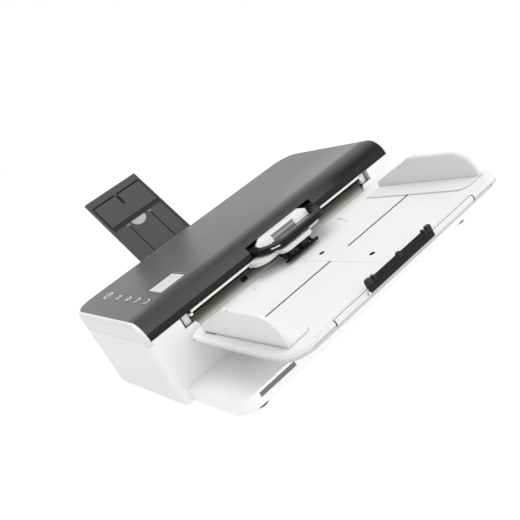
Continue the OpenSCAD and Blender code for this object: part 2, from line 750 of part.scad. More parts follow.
module lid_liner() color(white) {
    web = path_hw - 6.5;
    difference() {
        union() {
            block([-web, web], [lip_y + 0.2, path_end + 3], [liner_z, liner_top]);
            block([-web, web], [path_end + 3 - wall, path_end + 3], [liner_z, seam_z + 2.9]);
            block([8 - hook_x, hook_x - 8], [lip_y + 0.2, lip_y + wall], [liner_z + 1, seam_z - 0.1]);
            both_sides() {
                block([web, web + wall], [lip_y + 5, path_end + 3], [liner_z, seam_z + 2.9]);
                slab(seam_z + 0.4, seam_z + 2.9) intersection() {
                    plan(cover_hw - 0.5, lip_y + 5, body_d - cap_t - 0.5, 1, corner_r - cap_t);
                    translate([web, 0]) square([half_w - web, path_end + 3]);
                }
                block([30, 33], [feed_y - 6, feed_y + 6], [liner_z, feed_z + 5]);
                for (y = [entry_y, exit_y]) block([web - 4, web - 0.5], [y - 5, y + 5], [liner_z, press_z + 5]);
                for (x = latch_ears) {
                    rod_x(x, x + 5, latch_y, latch_z, latch_r + 2);
                    block([x, x + 5], [latch_y - 3, latch_y + 4], [liner_z, latch_z]);
                }
                for (y = [60, 110, 160]) translate([key_x + 5, y, seam_z + 2])
                    cylinder(h = board_z - seam_z - 2, r = 3);
            }
            for (p = boss_at) translate([p[0], p[1], liner_z]) cylinder(h = lid_top - wall - liner_z, r = 4);
        }
        block([-nose_hw - 1, nose_hw + 1], [lip_y - 1, feed_y + feed_r + 3], [liner_z - 1, seam_z + 5]);
        both_sides() block([hook_x - hook_w / 2 - 1, web + 5], [lip_y - 1, latch_y + 10], [liner_z - 1, seam_z + 9]);
        for (x = tyre_x, y = [entry_y, exit_y]) block([x - tyre_w / 2 - 1, x + tyre_w / 2 + 1],
            [y - press_r - 1, y + press_r + 1], [liner_z - 1, liner_top + 1]);
        block([3.5 - sensor_hw, sensor_hw - 3.5],
            [sensor_y - scan_glass_d / 2 - part_gap, sensor_y + scan_glass_d / 2 + part_gap],
            [liner_z - 1, liner_top + 1]);
        rod_x(-40, 40, feed_y, feed_z, shaft_r + run_gap);
        for (y = [entry_y, exit_y]) rod_x(-web, web, y, press_z, press_shaft_r + run_gap);
        rod_x(17 - path_hw, path_hw - 17, latch_y, latch_z, latch_r + run_gap);
        both_sides() rod_x(knuckle_x - ear_w - 1, knuckle_x + knuckle_w + ear_w + 1, hinge_y, hinge_z,
            hinge_r + 2 * part_gap);
    }
    both_sides() difference() {
        union() {
            rod_x(knuckle_x, knuckle_x + knuckle_w, hinge_y, hinge_z, hinge_r);
            block([knuckle_x, knuckle_x + knuckle_w], [path_end + 2, hinge_y], [seam_z + 0.4, hinge_z + hinge_r]);
        }
        rod_x(knuckle_x - 1, knuckle_x + knuckle_w + 1, hinge_y, hinge_z, hinge_pin_r + run_gap);
    }
}

// Front edge of the feed module seen from above: broad shoulder and narrower nose
module module_plan(inset) {
    plan(shoulder_hw - inset, inset - shoulder_reach, lip_y, 16 - inset, 0.5);
    plan(nose_hw - inset, inset - nose_reach, lip_y, 10 - inset, 0.5);
}

module feed_module_cover() color(white) difference() {
    slab(liner_z + 0.8, seam_z) module_plan(0);
    slab(liner_z - 1, seam_z - 1.6) intersection() {
        module_plan(2);
        translate([-nose_hw + 2, -nose_reach]) square([2 * nose_hw - 4, nose_reach + lip_y + 5]);
    }
}

module latch_bezel() color(white) translate([latch_x, 0, 0]) {
    hw = handle_hw - arm_t - 1;
    low = seam_z + 1.5;
    high = seam_z + 14.7;
    difference() {
        intersection() {
            along_x(-hw, hw) difference() {
                translate([roll_y, roll_z]) circle(roll_r - 0.8, $fn = 96);
                translate([roll_y, roll_z]) circle(roll_r - 3, $fn = 96);
            }
            translate([0, 20, 0]) rotate([90, 0, 0]) linear_extrude(height = 20)
                polygon([[-hw, low], [hw, low], [hw, high - 5], [hw - 9, high], [9 - hw, high], [-hw, high - 5]]);
        }
        block([-18.5, 18.5], [0, 20], [high - 6, high - 2.2]);
    }
}

module upper_image_sensor() color(black)
    block([3 - sensor_hw, sensor_hw - 3], [sensor_y - sensor_d / 2, sensor_y + sensor_d / 2],
        [liner_top + 0.2, lid_top - wall - 5.5]);

module upper_scan_glass() color(glass)
    block([4 - sensor_hw, sensor_hw - 4], [sensor_y - scan_glass_d / 2, sensor_y + scan_glass_d / 2],
        [liner_z + 0.2, liner_top]);

module display_window() color(shade) {
    w = window_w / 2 - 0.2;
    block([window_x - w, window_x + w], [window_y - w, window_y + w], [lid_top - wall, lid_top - 0.2]);
}

module key_board() color(green)
    block([key_x - 14, key_x + 11], [small_key_y[3] - 12, power_key_y + 14], [board_z, board_z + board_t]);

module key(y, r) {
    low = board_z + board_t + 0.2 + key_stroke;
    translate([key_x, y, low]) cylinder(h = lid_top + key_rise - low, r = r);
    translate([key_x, y, low]) cylinder(h = 2, r = r + 1.5);
}

module power_key() color(dark) key(power_key_y, power_key_r);
module first_key() color(dark) key(small_key_y[0], key_r);
module second_key() color(dark) key(small_key_y[1], key_r);
module third_key() color(dark) key(small_key_y[2], key_r);
module fourth_key() color(dark) key(small_key_y[3], key_r);

// Rollers and arm in the lid

module pressure_roller(y) {
    rod_x(7 - path_hw, path_hw - 7, y, press_z, press_shaft_r);
    for (x = tyre_x) rod_x(x - tyre_w / 2, x + tyre_w / 2, y, press_z, press_r);
}

module entry_pressure_roller() color(black) pressure_roller(entry_y);
module exit_pressure_roller() color(black) pressure_roller(exit_y);

module feed_roller() color(black) {
    rod_x(-36, 36, feed_y, feed_z, shaft_r);
    both_sides() rod_x(3, 15, feed_y, feed_z, feed_r);
}

module pick_arm() color(black) {
    both_sides() difference() {
        along_x(17.5, 20) {
            translate([feed_y, feed_z]) circle(shaft_r + 2.2);
            translate([pick_y, pick_z]) circle(4);
            polygon([[feed_y, feed_z - 3], [feed_y, feed_z + 2.2], [pick_y, pick_z + 2.2],
                [pick_y - 9, pick_z - 3.4], [pick_y - 9, pick_z - 5.4], [pick_y, pick_z - 3]]);
        }
        rod_x(0, 40, feed_y, feed_z, shaft_r + run_gap);
        rod_x(0, 40, pick_y, pick_z, 2 + run_gap);
    }
    slab(pick_z - 5.4, pick_z - 3.4) intersection() {
        plan(26, pick_y - 13, pick_y - 7.6, 4, 1);
        translate([-26, pick_y - 13]) square([52, 5.4]);
    }
    block([-20, 20], [pick_y + 15, pick_y + 19], [pick_z + 1.8, pick_z + 4.2]);
}

module pick_rollers() color(black) {
    rod_x(-19.5, 19.5, pick_y, pick_z, 2);
    both_sides() rod_x(4, 15, pick_y, pick_z, pick_r);
}

// Bowed outline of half width a and depth b in front of the lip, straight in the middle
module bow(a, b) {
    half = [[1, 0], [0.99, 0.1], [0.955, 0.3], [0.9, 0.5], [0.82, 0.7], [0.73, 0.86], [0.64, 0.945], [0.52, 0.985],
        [0.35, 1]];
    n = len(half) - 1;
    polygon(concat([for (p = half) [a * p[0], lip_y - 1 - b * p[1]]],
        [for (k = [0:n]) let (p = half[n - k]) [-a * p[0], lip_y - 1 - b * p[1]]]));
}

module latch_handle() color(dark) translate([latch_x, 0, 0]) {
    deep = handle_reach + lip_y - 1;
    for (s = [[2, 2.6, 0.6], [2.6, 7, 0], [7, 7.8, 0.5], [7.8, 8.4, 1.2]])
        slab(seam_z + s[0] - 0.01, seam_z + s[1]) difference() {
            bow(handle_hw - s[2], deep - s[2]);
            bow(handle_hw - arm_t + s[2], deep - bar_d + s[2]);
        }
    both_sides() difference() {
        union() {
            rod_x(handle_hw - arm_t, handle_hw, latch_y, latch_z, latch_r + 2);
            block([handle_hw - arm_t, handle_hw], [lip_y - 2, latch_y], [seam_z + 3, seam_z + 8.4]);
        }
        rod_x(0, 100, latch_y, latch_z, latch_r + run_gap);
    }
}

module latch_shaft() color(steel) {
    rod_x(-hook_x - hook_w / 2, hook_x + hook_w / 2, latch_y, latch_z, latch_r);
    both_sides() {
        block([hook_x - hook_w / 2, hook_x + hook_w / 2], [latch_y - 4, latch_y - 0.5], [path_z - 3.5, latch_z]);
        block([hook_x - hook_w / 2, hook_x + hook_w / 2], [latch_y - 4, latch_y + 3.5], [path_z - 4.5, path_z - 1.5]);
    }
}

// Rear tray

module on_rear_slope() translate([rear_x, rear_y, rear_z]) rotate([rear_slope, 0, 0]) children();

module rear_tray() color(dark) on_rear_slope() difference() {
    union() {
        block([-rear_w / 2, rear_w / 2], [0, strip_start - 0.5], [-rear_t / 2, 0]);
        block([-rear_w / 2, rear_w / 2], [0, panel_start - 5], [-rear_t / 2, 1]);
        both_sides() block([rear_w / 2 - rail, rear_w / 2], [0, strip_start - 0.5], [-rear_t / 2, rear_t / 2]);
        rod_x(-rear_w / 2, rear_w / 2, 0, 0, 4.5);
        rod_x(-rear_w / 2 - 4.4, rear_w / 2 + 4.4, 0, 0, rear_pin_r);
    }
    both_sides() block([18.8, 20.2], [8, panel_start - 12], [0.2, 5]);
    translate([0, panel_start - 8, 0.2]) difference() {
        cylinder(h = 5, r = 14.6);
        block([-20, 20], [0, 20], [-1, 8]);
    }
}

module rear_tray_extension() color(dark) on_rear_slope() {
    hw = rear_w / 2 - rail - part_gap;
    difference() {
        union() {
            along_x(-hw, hw) polygon([[panel_start - 4.5, 0.3], [panel_start - 4.5, 0.6],
                [panel_start, rear_t / 2 - 0.2], [strip_start + 1, rear_t / 2 - 0.2], [strip_start + 1, 0.3]]);
            block([-rear_w / 2, rear_w / 2], [strip_start, rear_l], [-rear_t / 2, rear_t / 2]);
        }
        block([-hw + 1, -6], [strip_start - 1.6, strip_start - 0.2], [1, 5]);
        block([6, hw - 1], [strip_start - 1.6, strip_start - 0.2], [1, 5]);
        block([-0.8, 0.8], [strip_start - 22, strip_start - 4], [1, 5]);
    }
}

translate([0, -y_mid, 0]) {
    base_housing();
    base_pan();
    rubber_feet();
    left_side_frame();
    right_side_frame();
    lower_guide_plate();
    lower_image_sensor();
    lower_scan_glass();
    latch_strikers();
    lid_hinge_pins();
    main_board();
    data_socket();
    power_inlet();
    transport_motor();
    lift_motor();
    roller_bushes();
    drive_belt();
    entry_drive_shaft();
    entry_drive_tyres();
    drive_gear();
    exit_drive_shaft();
    exit_drive_tyres();
    motor_pinion();
    separation_roller();
    lift_shaft();
    input_tray();
    tray_underpan();
    lift_racks();
    guide_pinion();
    left_guide();
    left_guide_rack();
    right_guide();
    right_guide_rack();
    tray_extension();
    end_stop();
    lid_cover();
    left_end_cap();
    right_end_cap();
    lid_rear_panel();
    lid_liner();
    feed_module_cover();
    latch_bezel();
    upper_image_sensor();
    upper_scan_glass();
    display_window();
    key_board();
    entry_pressure_roller();
    exit_pressure_roller();
    feed_roller();
    pick_arm();
    pick_rollers();
    latch_handle();
    latch_shaft();
    power_key();
    first_key();
    second_key();
    third_key();
    fourth_key();
    rear_tray();
    rear_tray_extension();
}
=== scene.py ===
import math

import bpy
from mathutils import Matrix, Vector


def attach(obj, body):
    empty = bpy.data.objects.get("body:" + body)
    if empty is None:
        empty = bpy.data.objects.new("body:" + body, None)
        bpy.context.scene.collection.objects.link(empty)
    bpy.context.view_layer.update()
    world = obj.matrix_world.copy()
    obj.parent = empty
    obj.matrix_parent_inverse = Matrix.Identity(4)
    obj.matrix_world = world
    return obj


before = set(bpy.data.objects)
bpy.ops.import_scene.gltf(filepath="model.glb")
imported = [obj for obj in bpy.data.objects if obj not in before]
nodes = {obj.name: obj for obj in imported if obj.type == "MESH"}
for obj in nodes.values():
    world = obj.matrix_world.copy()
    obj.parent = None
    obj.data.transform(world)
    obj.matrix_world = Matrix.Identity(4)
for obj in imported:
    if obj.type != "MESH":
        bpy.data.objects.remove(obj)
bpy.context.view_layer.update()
print("frame loaded:", len(nodes), "nodes")

mm = 0.001
middle = 65.4875  # the model's origin lies this far behind the front lip, in mm
seamZ = 88.0  # joint between base and lid
lidTop = seamZ + 22.5
trayZ = seamZ - 20  # upper face of the input tray


def at(x, y, z):
    # machine millimetres, y counted from the front lip, to metres in the shared frame
    return Vector((x * mm, (y - middle) * mm, z * mm))


# camera, as the photograph was taken
view = dict(place=(-0.40744, -0.78383, 0.34915),
            right=(0.70153, -0.53423, -0.47170),
            up=(0.56531, 0.01411, 0.82475),
            back=(-0.43395, -0.84523, 0.31190),
            lens=51.455, sensor=36.0, clip=(0.01, 40))
lens = bpy.data.cameras.new("photoCamera")
lens.lens = view["lens"]
lens.sensor_width = view["sensor"]
lens.clip_start, lens.clip_end = view["clip"]
camera = bpy.data.objects.new("photoCamera", lens)
bpy.context.scene.collection.objects.link(camera)
turn = Matrix((view["right"], view["up"], view["back"])).transposed().to_4x4()
camera.matrix_world = Matrix.Translation(view["place"]) @ turn
bpy.context.scene.camera = camera
bpy.context.scene.view_settings.view_transform = "Standard"
print("camera set")


# shader sums written as plain expressions
class Wire:
    def __init__(self, tree, socket):
        self.tree, self.socket = tree, socket

    def maths(self, operation, other, flip=False, clamp=False):
        made = self.tree.nodes.new("ShaderNodeMath")
        made.operation, made.use_clamp = operation, clamp
        for slot, value in zip(made.inputs, (other, self) if flip else (self, other)):
            plug(self.tree, slot, value)
        return Wire(self.tree, made.outputs[0])

    def __add__(self, other): return self.maths("ADD", other)
    def __radd__(self, other): return self.maths("ADD", other, True)
    def __sub__(self, other): return self.maths("SUBTRACT", other)
    def __rsub__(self, other): return self.maths("SUBTRACT", other, True)
    def __mul__(self, other): return self.maths("MULTIPLY", other)
    def __truediv__(self, other): return self.maths("DIVIDE", other)
    def __gt__(self, other): return self.maths("GREATER_THAN", other)
    def __lt__(self, other): return self.maths("LESS_THAN", other)

    def limited(self): return self.maths("ADD", 0.0, clamp=True)

    def between(self, start, full):
        # 0 up to start, 1 from full on
        return ((self - start) / (full - start)).limited()


def plug(tree, slot, value):
    if isinstance(value, Wire):
        tree.links.new(value.socket, slot)
    else:
        slot.default_value = (*value, 1) if slot.type == "RGBA" else value


class Finish:
    # one material: its tree, its shader and short ways to add nodes
    inputs = dict(colour="Base Color", rough="Roughness", metal="Metallic", normal="Normal",
                  coat="Coat Weight", through="Transmission Weight", ior="IOR", specular="Specular IOR Level",
                  glow="Emission Color", glowPower="Emission Strength")

    def __init__(self, name, slotName):
        self.material = bpy.data.materials.new(name)
        self.material.use_nodes = True
        self.slotName = slotName
        self.tree = self.material.node_tree
        self.shader = self.tree.nodes["Principled BSDF"]

    def node(self, kind, settings=None, inputs=None, out=0):
        made = self.tree.nodes.new("ShaderNode" + kind)
        for key, value in (settings or {}).items():
            setattr(made, key, value)
        for key, value in (inputs or {}).items():
            plug(self.tree, made.inputs[key], value)
        return Wire(self.tree, made.outputs[out])

    def ramp(self, factor, stops):
        # colours along a factor, from (place, colour) pairs in rising order
        made = self.tree.nodes.new("ShaderNodeValToRGB")
        elements = made.color_ramp.elements
        while len(elements) < len(stops):
            elements.new(0.5)
        for element, (place, colour) in zip(elements, stops):
            element.position, element.color = place, (*colour, 1)
        plug(self.tree, made.inputs["Fac"], factor)
        return Wire(self.tree, made.outputs["Color"])

    def set(self, **values):
        for key, value in values.items():
            plug(self.tree, self.shader.inputs[self.inputs[key]], value)
        return self

    def spot(self):
        return self.node("TexCoord", out=3)

    def normal(self):
        return self.node("NewGeometry", out=1)

    def rounded(self, radius):
        return self.node("Bevel", {"samples": 4}, {"Radius": radius})

    def axis(self, which, vector=None):
        return self.node("SeparateXYZ", {}, {"Vector": vector or self.spot()}, out="XYZ".index(which))

    def behindLip(self):
        # millimetres behind the front lip
        return (self.axis("Y") + middle * mm) / mm

    def noise(self, size, detail, scale=(1, 1, 1)):
        place = self.node("Mapping", {}, {"Vector": self.spot(), "Scale": scale})
        return self.node("TexNoise", {}, {"Vector": place, "Scale": 1 / size, "Detail": detail})

    def stripes(self, direction, scale):
        return self.node("TexWave", {"bands_direction": direction},
                         {"Vector": self.spot(), "Scale": scale}, out=1)

    def blend(self, mask, first, second):
        mixed = self.tree.nodes.new("ShaderNodeMix")
        mixed.data_type = "RGBA"
        for place, value in ((0, mask), (6, first), (7, second)):
            plug(self.tree, mixed.inputs[place], value)
        return Wire(self.tree, mixed.outputs[2])

    def edges(self, radius):
        # 0 on the flats, towards 1 on sharp edges
        return 1 - self.node("VectorMath", {"operation": "DOT_PRODUCT"},
                             {0: self.rounded(radius), 1: self.normal()}, out=1)

    def bumped(self, height, depth, radius=None):
        made = {"Height": height, "Distance": depth, "Strength": 1.0}
        if radius:
            made["Normal"] = self.rounded(radius)
        return self.set(normal=self.node("Bump", {}, made))


def shaded(colour, factor):
    return tuple(min(1, c * factor) for c in colour)


# mouldings: what they share, then each one's own values, which override the shared ones
# painted light: a paler colour, and the distances behind the lip where it starts and is full
# band: painted shade, another colour, the height it stays below, and the least upward lean of its faces
moulding = dict(flow=.035, grainRough=.10, flowRough=.06, edgeWearGlintGain=2.2, edgeWearGlintShare=.5, lift=1.18, polish=.06,
                sheen=.5)
plastics = dict(
    whiteShell=dict(slot="white_shell", colour=(.80, .80, .788), rough=.42, grain=.0007, depth=.00003,
                    mottle=.025, edge=.0007),
    # base shell: paler towards the front, painted light where the tray shades the platform and the base's
    # front
    bodyShell=dict(slot="white_shell", colour=(.845, .845, .835), rough=.45, grain=.0007, depth=.00003,
                   mottle=.02, edge=.0007, paintedLight=((.96, .96, .95), 20, -8)),
    # tray shell: paler towards its rear, painted light where the lid shades it
    trayShell=dict(slot="white_shell", colour=(.80, .80, .788), rough=.42, grain=.0007, depth=.00003,
                   mottle=.025, edge=.0007, paintedLight=((.93, .93, .92), -95, -20)),
    # tray band: grey on the low band's faces that don't look down, painted shade
    trayBand=dict(slot="white_shell", colour=(.80, .80, .788), rough=.42, grain=.0007, depth=.00003,
                  mottle=.025, edge=.0007, lift=1.125, polish=0, band=((.56, .56, .55), .0624, -.6)),
    innerPlastic=dict(slot="inner_plastic", colour=(.62, .62, .60), rough=.5, grain=.0008, depth=.00004,
                      mottle=.03, edge=.0005),
    # bright trim: paler than the shell, painted light on the lid's strip, the latch bezel and the slot's
    # fill, which sit in shade
    paintedLightTrim=dict(slot="white_shell", colour=(.93, .93, .92), rough=.40, grain=.0007, depth=.00002,
                    mottle=.015, edge=.0005),
    rearTrayPlastic=dict(slot="dark_shell", colour=(.048, .048, .050), rough=.55, grain=.0006, depth=.00005,
                         mottle=.06, edge=.0005),
    handlePlastic=dict(slot="dark_shell", colour=(.006, .006, .0065), rough=.44, grain=.0006, depth=.00003,
                       mottle=.05, edge=.0008, sheen=.22),
    blackPlastic=dict(slot="black_plastic", colour=(.004, .004, .0045), rough=.5, grain=.0007, depth=.00004,
                      mottle=.05, edge=.0006, sheen=.26),
    collarPlastic=dict(slot="black_plastic", colour=(.005, .005, .0055), rough=.40, grain=.0007, depth=.00003,
                       mottle=.05, edge=.0006, sheen=.4),
    shadowInk=dict(slot="black_plastic", colour=(.006, .006, .006), rough=.6, grain=.0003, depth=.00001,
                   mottle=.04, edge=.0001, sheen=.15),
    signInk=dict(slot="white_shell", colour=(.78, .78, .77), rough=.38, grain=.0003, depth=.00001,
                 mottle=.03, edge=.0001),
    slotGrey=dict(slot="inner_plastic", colour=(.17, .17, .17), rough=.5, grain=.0006, depth=.00003,
                  mottle=.04, edge=.0004),
    faintLine=dict(slot="inner_plastic", colour=(.60, .60, .59), rough=.45, grain=.0005, depth=.00001,
                   mottle=.03, edge=.0002),
    paleInlay=dict(slot="inner_plastic", colour=(.42, .42, .42), rough=.45, grain=.0005, depth=.00002,
                   mottle=.04, edge=.0003),
    lightTrim=dict(slot="inner_plastic", colour=(.34, .34, .335), rough=.35, grain=.0005, depth=.00001,
                   mottle=.03, edge=.0002),
)


def mouldedPlastic(name, own):
    # spark-textured moulding: fine grain, faint flow mottle, slightly lighter edges from rubbed wear and a
    # painted edge highlight
    spec = {**moulding, **own}
    made = Finish(name, spec["slot"])
    grain = made.noise(spec["grain"], 2.0)
    flow = made.noise(spec["flow"], 4.0)
    # edges lighter: rubbed wear and a painted edge highlight
    edgeWearAndGlint = (made.edges(spec["edge"]) * spec["edgeWearGlintGain"]).limited()
    darker, paler = (shaded(spec["colour"], 1 + sign * spec["mottle"]) for sign in (-1, 1))
    tone = made.blend(flow, darker, paler)
    # painted light: paler towards one end, where shade falls
    if "paintedLight" in spec:
        colour, start, full = spec["paintedLight"]
        tone = made.blend(made.behindLip().between(start, full), tone, colour)
    worn = made.blend(edgeWearAndGlint * spec["edgeWearGlintShare"], tone, shaded(spec["colour"], spec["lift"]))
    # painted shade: grey below a height, on faces that don't look down
    if "band" in spec:
        colour, top, lean = spec["band"]
        low = made.axis("Z") < top
        worn = made.blend(low * (made.axis("Z", made.normal()) > lean), worn, colour)
    uneven = (grain - .5) * spec["grainRough"] + (flow - .5) * spec["flowRough"]
    made.set(colour=worn, rough=spec["rough"] + uneven - edgeWearAndGlint * spec["polish"], specular=spec["sheen"])
    return made.bumped(grain, spec["depth"], spec["edge"])


# lid: near and far are the shares of its tone left on the rolled front, by distance behind the lip,
# on the left half and towards the right end: painted shade over the roll, and on the left half a painted
# highlight close to the lip
coverSpec = dict(left=(.080, .079, .076), top=(.118, .116, .113), right=(.190, .187, .183),
                 across=(-.15, .15), dusk=(.02, .12), streak=.35, streakLift=1.25,
                 lip=(.004, .004, .0045), lipTop=seamZ + 8.0, lipBack=14.0, lipRough=.12,
                 rough=.33, specular=.28, unevenRough=.08, edge=.0010, edgeWearGlintGain=2, edgeWearGlintShare=.4, edgeWearGlintLift=1.5,
                 fadeTo=120.0,
                 near=[(5, .72), (7, .70), (9, .64), (12, .36), (15, .06), (18, .17), (21, .18), (24, .10),
                       (27, 0), (30, 0), (33, .08), (36, .32), (40, .80), (44, 1), (120, 1)],
                 far=[(5, 0), (9, 0), (12, .06), (15, .14), (18, .19), (21, .25), (24, .13), (27, .03),
                      (30, 0), (33, .06), (36, .25), (40, .75), (44, 1), (60, .95), (80, .82), (100, .70),
                      (120, .62)])


def coverLacquer():
    # silky grey lacquer: paler on the flat top, painted shade over the rolled front with a painted highlight
    # near the lip, edges lighter from rubbed wear and a painted edge highlight, matt dark lip below it
    spec = coverSpec
    made = Finish("coverLacquer", "dark_shell")
    fleck = made.noise(.00045, 2.0)
    haze = made.noise(.05, 3.0)
    streak = made.noise(.16, 2.0, (1, .35, 1))
    back = made.behindLip()
    lip = (made.axis("Z") < spec["lipTop"] * mm) * (back < spec["lipBack"])
    across = made.axis("X").between(*spec["across"])
    dusk = made.axis("X").between(*spec["dusk"])
    ground = made.blend(dusk, made.blend(across, spec["left"], spec["top"]), spec["right"])
    tone = made.blend(streak * spec["streak"], ground, shaded(spec["top"], spec["streakLift"]))
    rolled = back.between(0, spec["fadeTo"])
    # painted shade over the roll, and a painted highlight close to the lip
    paintedRollShadeAndGlint = [made.ramp(rolled, [(y / spec["fadeTo"], (share,) * 3) for y, share in spec[end]])
             for end in ("near", "far")]
    body = made.blend(made.blend(dusk, *paintedRollShadeAndGlint), (0, 0, 0), tone)
    # edges lighter: rubbed wear and a painted edge highlight
    edgeWearAndGlint = (made.edges(spec["edge"]) * spec["edgeWearGlintGain"]).limited()
    worn = made.blend(edgeWearAndGlint * spec["edgeWearGlintShare"], body, shaded(spec["top"], spec["edgeWearGlintLift"]))
    uneven = (haze - .5) * spec["unevenRough"] + (fleck - .5) * spec["unevenRough"]
    made.set(colour=made.blend(lip, worn, spec["lip"]), rough=spec["rough"] + uneven + lip * spec["lipRough"],
             specular=spec["specular"])
    return made.bumped(fleck, .000012, spec["edge"])


rampShadeSpec = dict(rise=(.068, .080), rough=.42, stops=[
    (0, (.70, .70, .67)), (.17, (.40, .40, .365)), (.33, (.22, .22, .195)),
    (.5, (.125, .125, .108)), (.75, (.075, .075, .066)), (1, (.045, .045, .04))])


def paintedShadeRamp():
    # paper ramp: white at its foot, darker towards the rollers, painted shade of the mouth under the lid
    made = Finish("paintedShadeRamp", "white_shell")
    grain = made.noise(.0007, 2.0)
    made.set(colour=made.ramp(made.axis("Z").between(*rampShadeSpec["rise"]), rampShadeSpec["stops"]),
             rough=rampShadeSpec["rough"] + (grain - .5) * .1, specular=.35)
    return made.bumped(grain, .00003)


def mouthShadeFelt():
    # black felt along the mouth, with fine upright hairs, laid where the mouth is in shade under the lid's
    # strip: painted shade
    made = Finish("mouthShadeFelt", "black_plastic")
    hairs = made.noise(.0006, 3.0, (1, 1, .08))
    made.set(colour=made.blend(hairs, (.006, .006, .006), (.022, .022, .021)), rough=.9, specular=.1)
    return made.bumped(hairs, .0002)


def brushedSteel():
    made = Finish("brushedSteel", "steel")
    lines = made.noise(.0008, 3.0, (.03, 1, 1))
    made.set(colour=made.blend(lines, (.42, .43, .44), (.62, .63, .64)), metal=1.0, rough=.26 + lines * .16)
    return made.bumped(lines, .00001, .0004)


def zincPlate():
    # satin plated pressing, paler than the machined shafts
    made = Finish("zincPlate", "steel")
    spangle = made.noise(.004, 3.0)
    made.set(colour=made.blend(spangle, (.74, .74, .75), (.86, .86, .86)), metal=.25,
             rough=.42 + spangle * .12)
    return made.bumped(spangle, .00001, .0004)


def rollerRubber():
    # matt rubber with paper dust on it
    made = Finish("rollerRubber", "rubber")
    pore = made.noise(.0005, 4.0)
    dust = made.noise(.012, 3.0)
    made.set(colour=made.blend((dust - .4).limited(), (.022, .022, .023), (.06, .058, .055)),
             rough=.72 + pore * .14)
    return made.bumped(pore, .00006, .0005)


def scanGlass():
    return Finish("scanGlass", "clear_glass").set(colour=(.50, .56, .58), rough=.05, through=.55, ior=1.5)


def displayLens():
    # smoked clear window over the display
    made = Finish("displayLens", "display_lens")
    wash = made.noise(.03, 2.0)
    return made.set(colour=made.blend(wash, (.075, .074, .072), (.095, .094, .092)), rough=.20 + wash * .06,
                    coat=.4)


def displayPanel():
    # pale liquid crystal panel with its fine rows
    made = Finish("displayPanel", "display_lens")
    rows = made.stripes("Y", 260.0)
    wash = made.noise(.03, 2.0)
    return made.set(colour=made.blend(wash, (.66, .67, .66), (.74, .75, .74)), rough=.22 + rows * .05)


def hatchedBand():
    # dark grip band with fine cross lines
    made = Finish("hatchedBand", "dark_shell")
    lines = made.stripes("X", 320.0)
    made.set(colour=made.blend(lines, (.007, .007, .0075), (.015, .015, .0155)), rough=.6)
    return made.bumped(lines, .00012)


def circuitBoard():
    # green lacquer over a grid of tracks
    made = Finish("circuitBoard", "circuit_board")
    tracks = made.node("TexBrick", {"offset": .5},
                       {"Vector": made.spot(), "Scale": 160.0, "Mortar Size": .03}, out=1)
    speck = made.noise(.002, 3.0)
    lacquer = made.blend(speck, (.015, .10, .045), (.025, .14, .06))
    made.set(colour=made.blend(tracks, lacquer, (.05, .22, .10)), rough=.35 + speck * .15)
    return made.bumped(tracks, .00003)


finishes = {name: mouldedPlastic(name, spec) for name, spec in plastics.items()}
for recipe in (coverLacquer, paintedShadeRamp, mouthShadeFelt, brushedSteel, zincPlate, rollerRubber, scanGlass,
               displayLens, displayPanel, hatchedBand, circuitBoard):
    finishes[recipe.__name__] = recipe()

wears = dict(
    paintedShadeRamp=["lower_guide_plate"],
    bodyShell=["base_housing"],
    trayBand=["tray_underpan", "tray_extension"],
    trayShell=["input_tray"],
    paintedLightTrim=["latch_bezel", "lid_liner"],
    whiteShell=["left_guide", "right_guide", "left_end_cap", "right_end_cap", "lid_rear_panel",
                "feed_module_cover"],
    innerPlastic=["base_pan", "lift_racks", "roller_bushes", "drive_gear", "motor_pinion"],
    coverLacquer=["lid_cover", "power_key", "first_key", "second_key", "third_key", "fourth_key"],
    handlePlastic=["latch_handle"],
    rearTrayPlastic=["rear_tray", "rear_tray_extension"],
    blackPlastic=["end_stop", "guide_pinion", "left_guide_rack", "right_guide_rack", "lower_image_sensor",
                  "upper_image_sensor", "pick_arm", "power_inlet", "drive_belt"],
    rollerRubber=["rubber_feet", "entry_drive_tyres", "exit_drive_tyres", "separation_roller", "feed_roller",
                  "pick_rollers", "entry_pressure_roller", "exit_pressure_roller"],
    brushedSteel=["left_side_frame", "right_side_frame", "latch_strikers", "lid_hinge_pins", "data_socket",
                  "transport_motor", "lift_motor", "entry_drive_shaft", "exit_drive_shaft", "lift_shaft"],
    zincPlate=["latch_shaft"],
    scanGlass=["lower_scan_glass", "upper_scan_glass"],
    displayLens=["display_window"],
    circuitBoard=["main_board", "key_board"],
)
for finishName, members in wears.items():
    for member in members:
        nodes[member].data.materials.clear()
        nodes[member].data.materials.append(finishes[finishName].material)
print("finishes on", sum(len(members) for members in wears.values()), "nodes")


# small trim, modelled in place: every finished piece sits at the origin with its place in its mesh
def clearSelection():
    if bpy.context.mode != "OBJECT":
        bpy.ops.object.mode_set(mode="OBJECT")
    bpy.ops.object.select_all(action="DESELECT")


def pickFaces(test):
    # faces of the active mesh by centre and normal, left selected in edit mode
    bpy.ops.object.mode_set(mode="EDIT")
    bpy.ops.mesh.select_mode(type="FACE")
    bpy.ops.mesh.select_all(action="DESELECT")
    bpy.ops.object.mode_set(mode="OBJECT")
    for face in bpy.context.object.data.polygons:
        face.select = test(face.center, face.normal)
    bpy.ops.object.mode_set(mode="EDIT")


def allOutward():
    bpy.ops.mesh.select_mode(type="FACE")
    bpy.ops.mesh.select_all(action="SELECT")
    bpy.ops.mesh.normals_make_consistent(inside=False)


def thicken(thick, edge):
    # whole flat outline upwards, then its top rim broken
    allOutward()
    bpy.ops.mesh.extrude_region_move(TRANSFORM_OT_translate={"value": (0, 0, thick * mm)})
    if edge:
        bpy.ops.mesh.region_to_loop()
        bpy.ops.mesh.bevel(offset=edge * mm, segments=2, affect="EDGES")
    allOutward()
    bpy.ops.object.mode_set(mode="OBJECT")
    return bpy.context.object


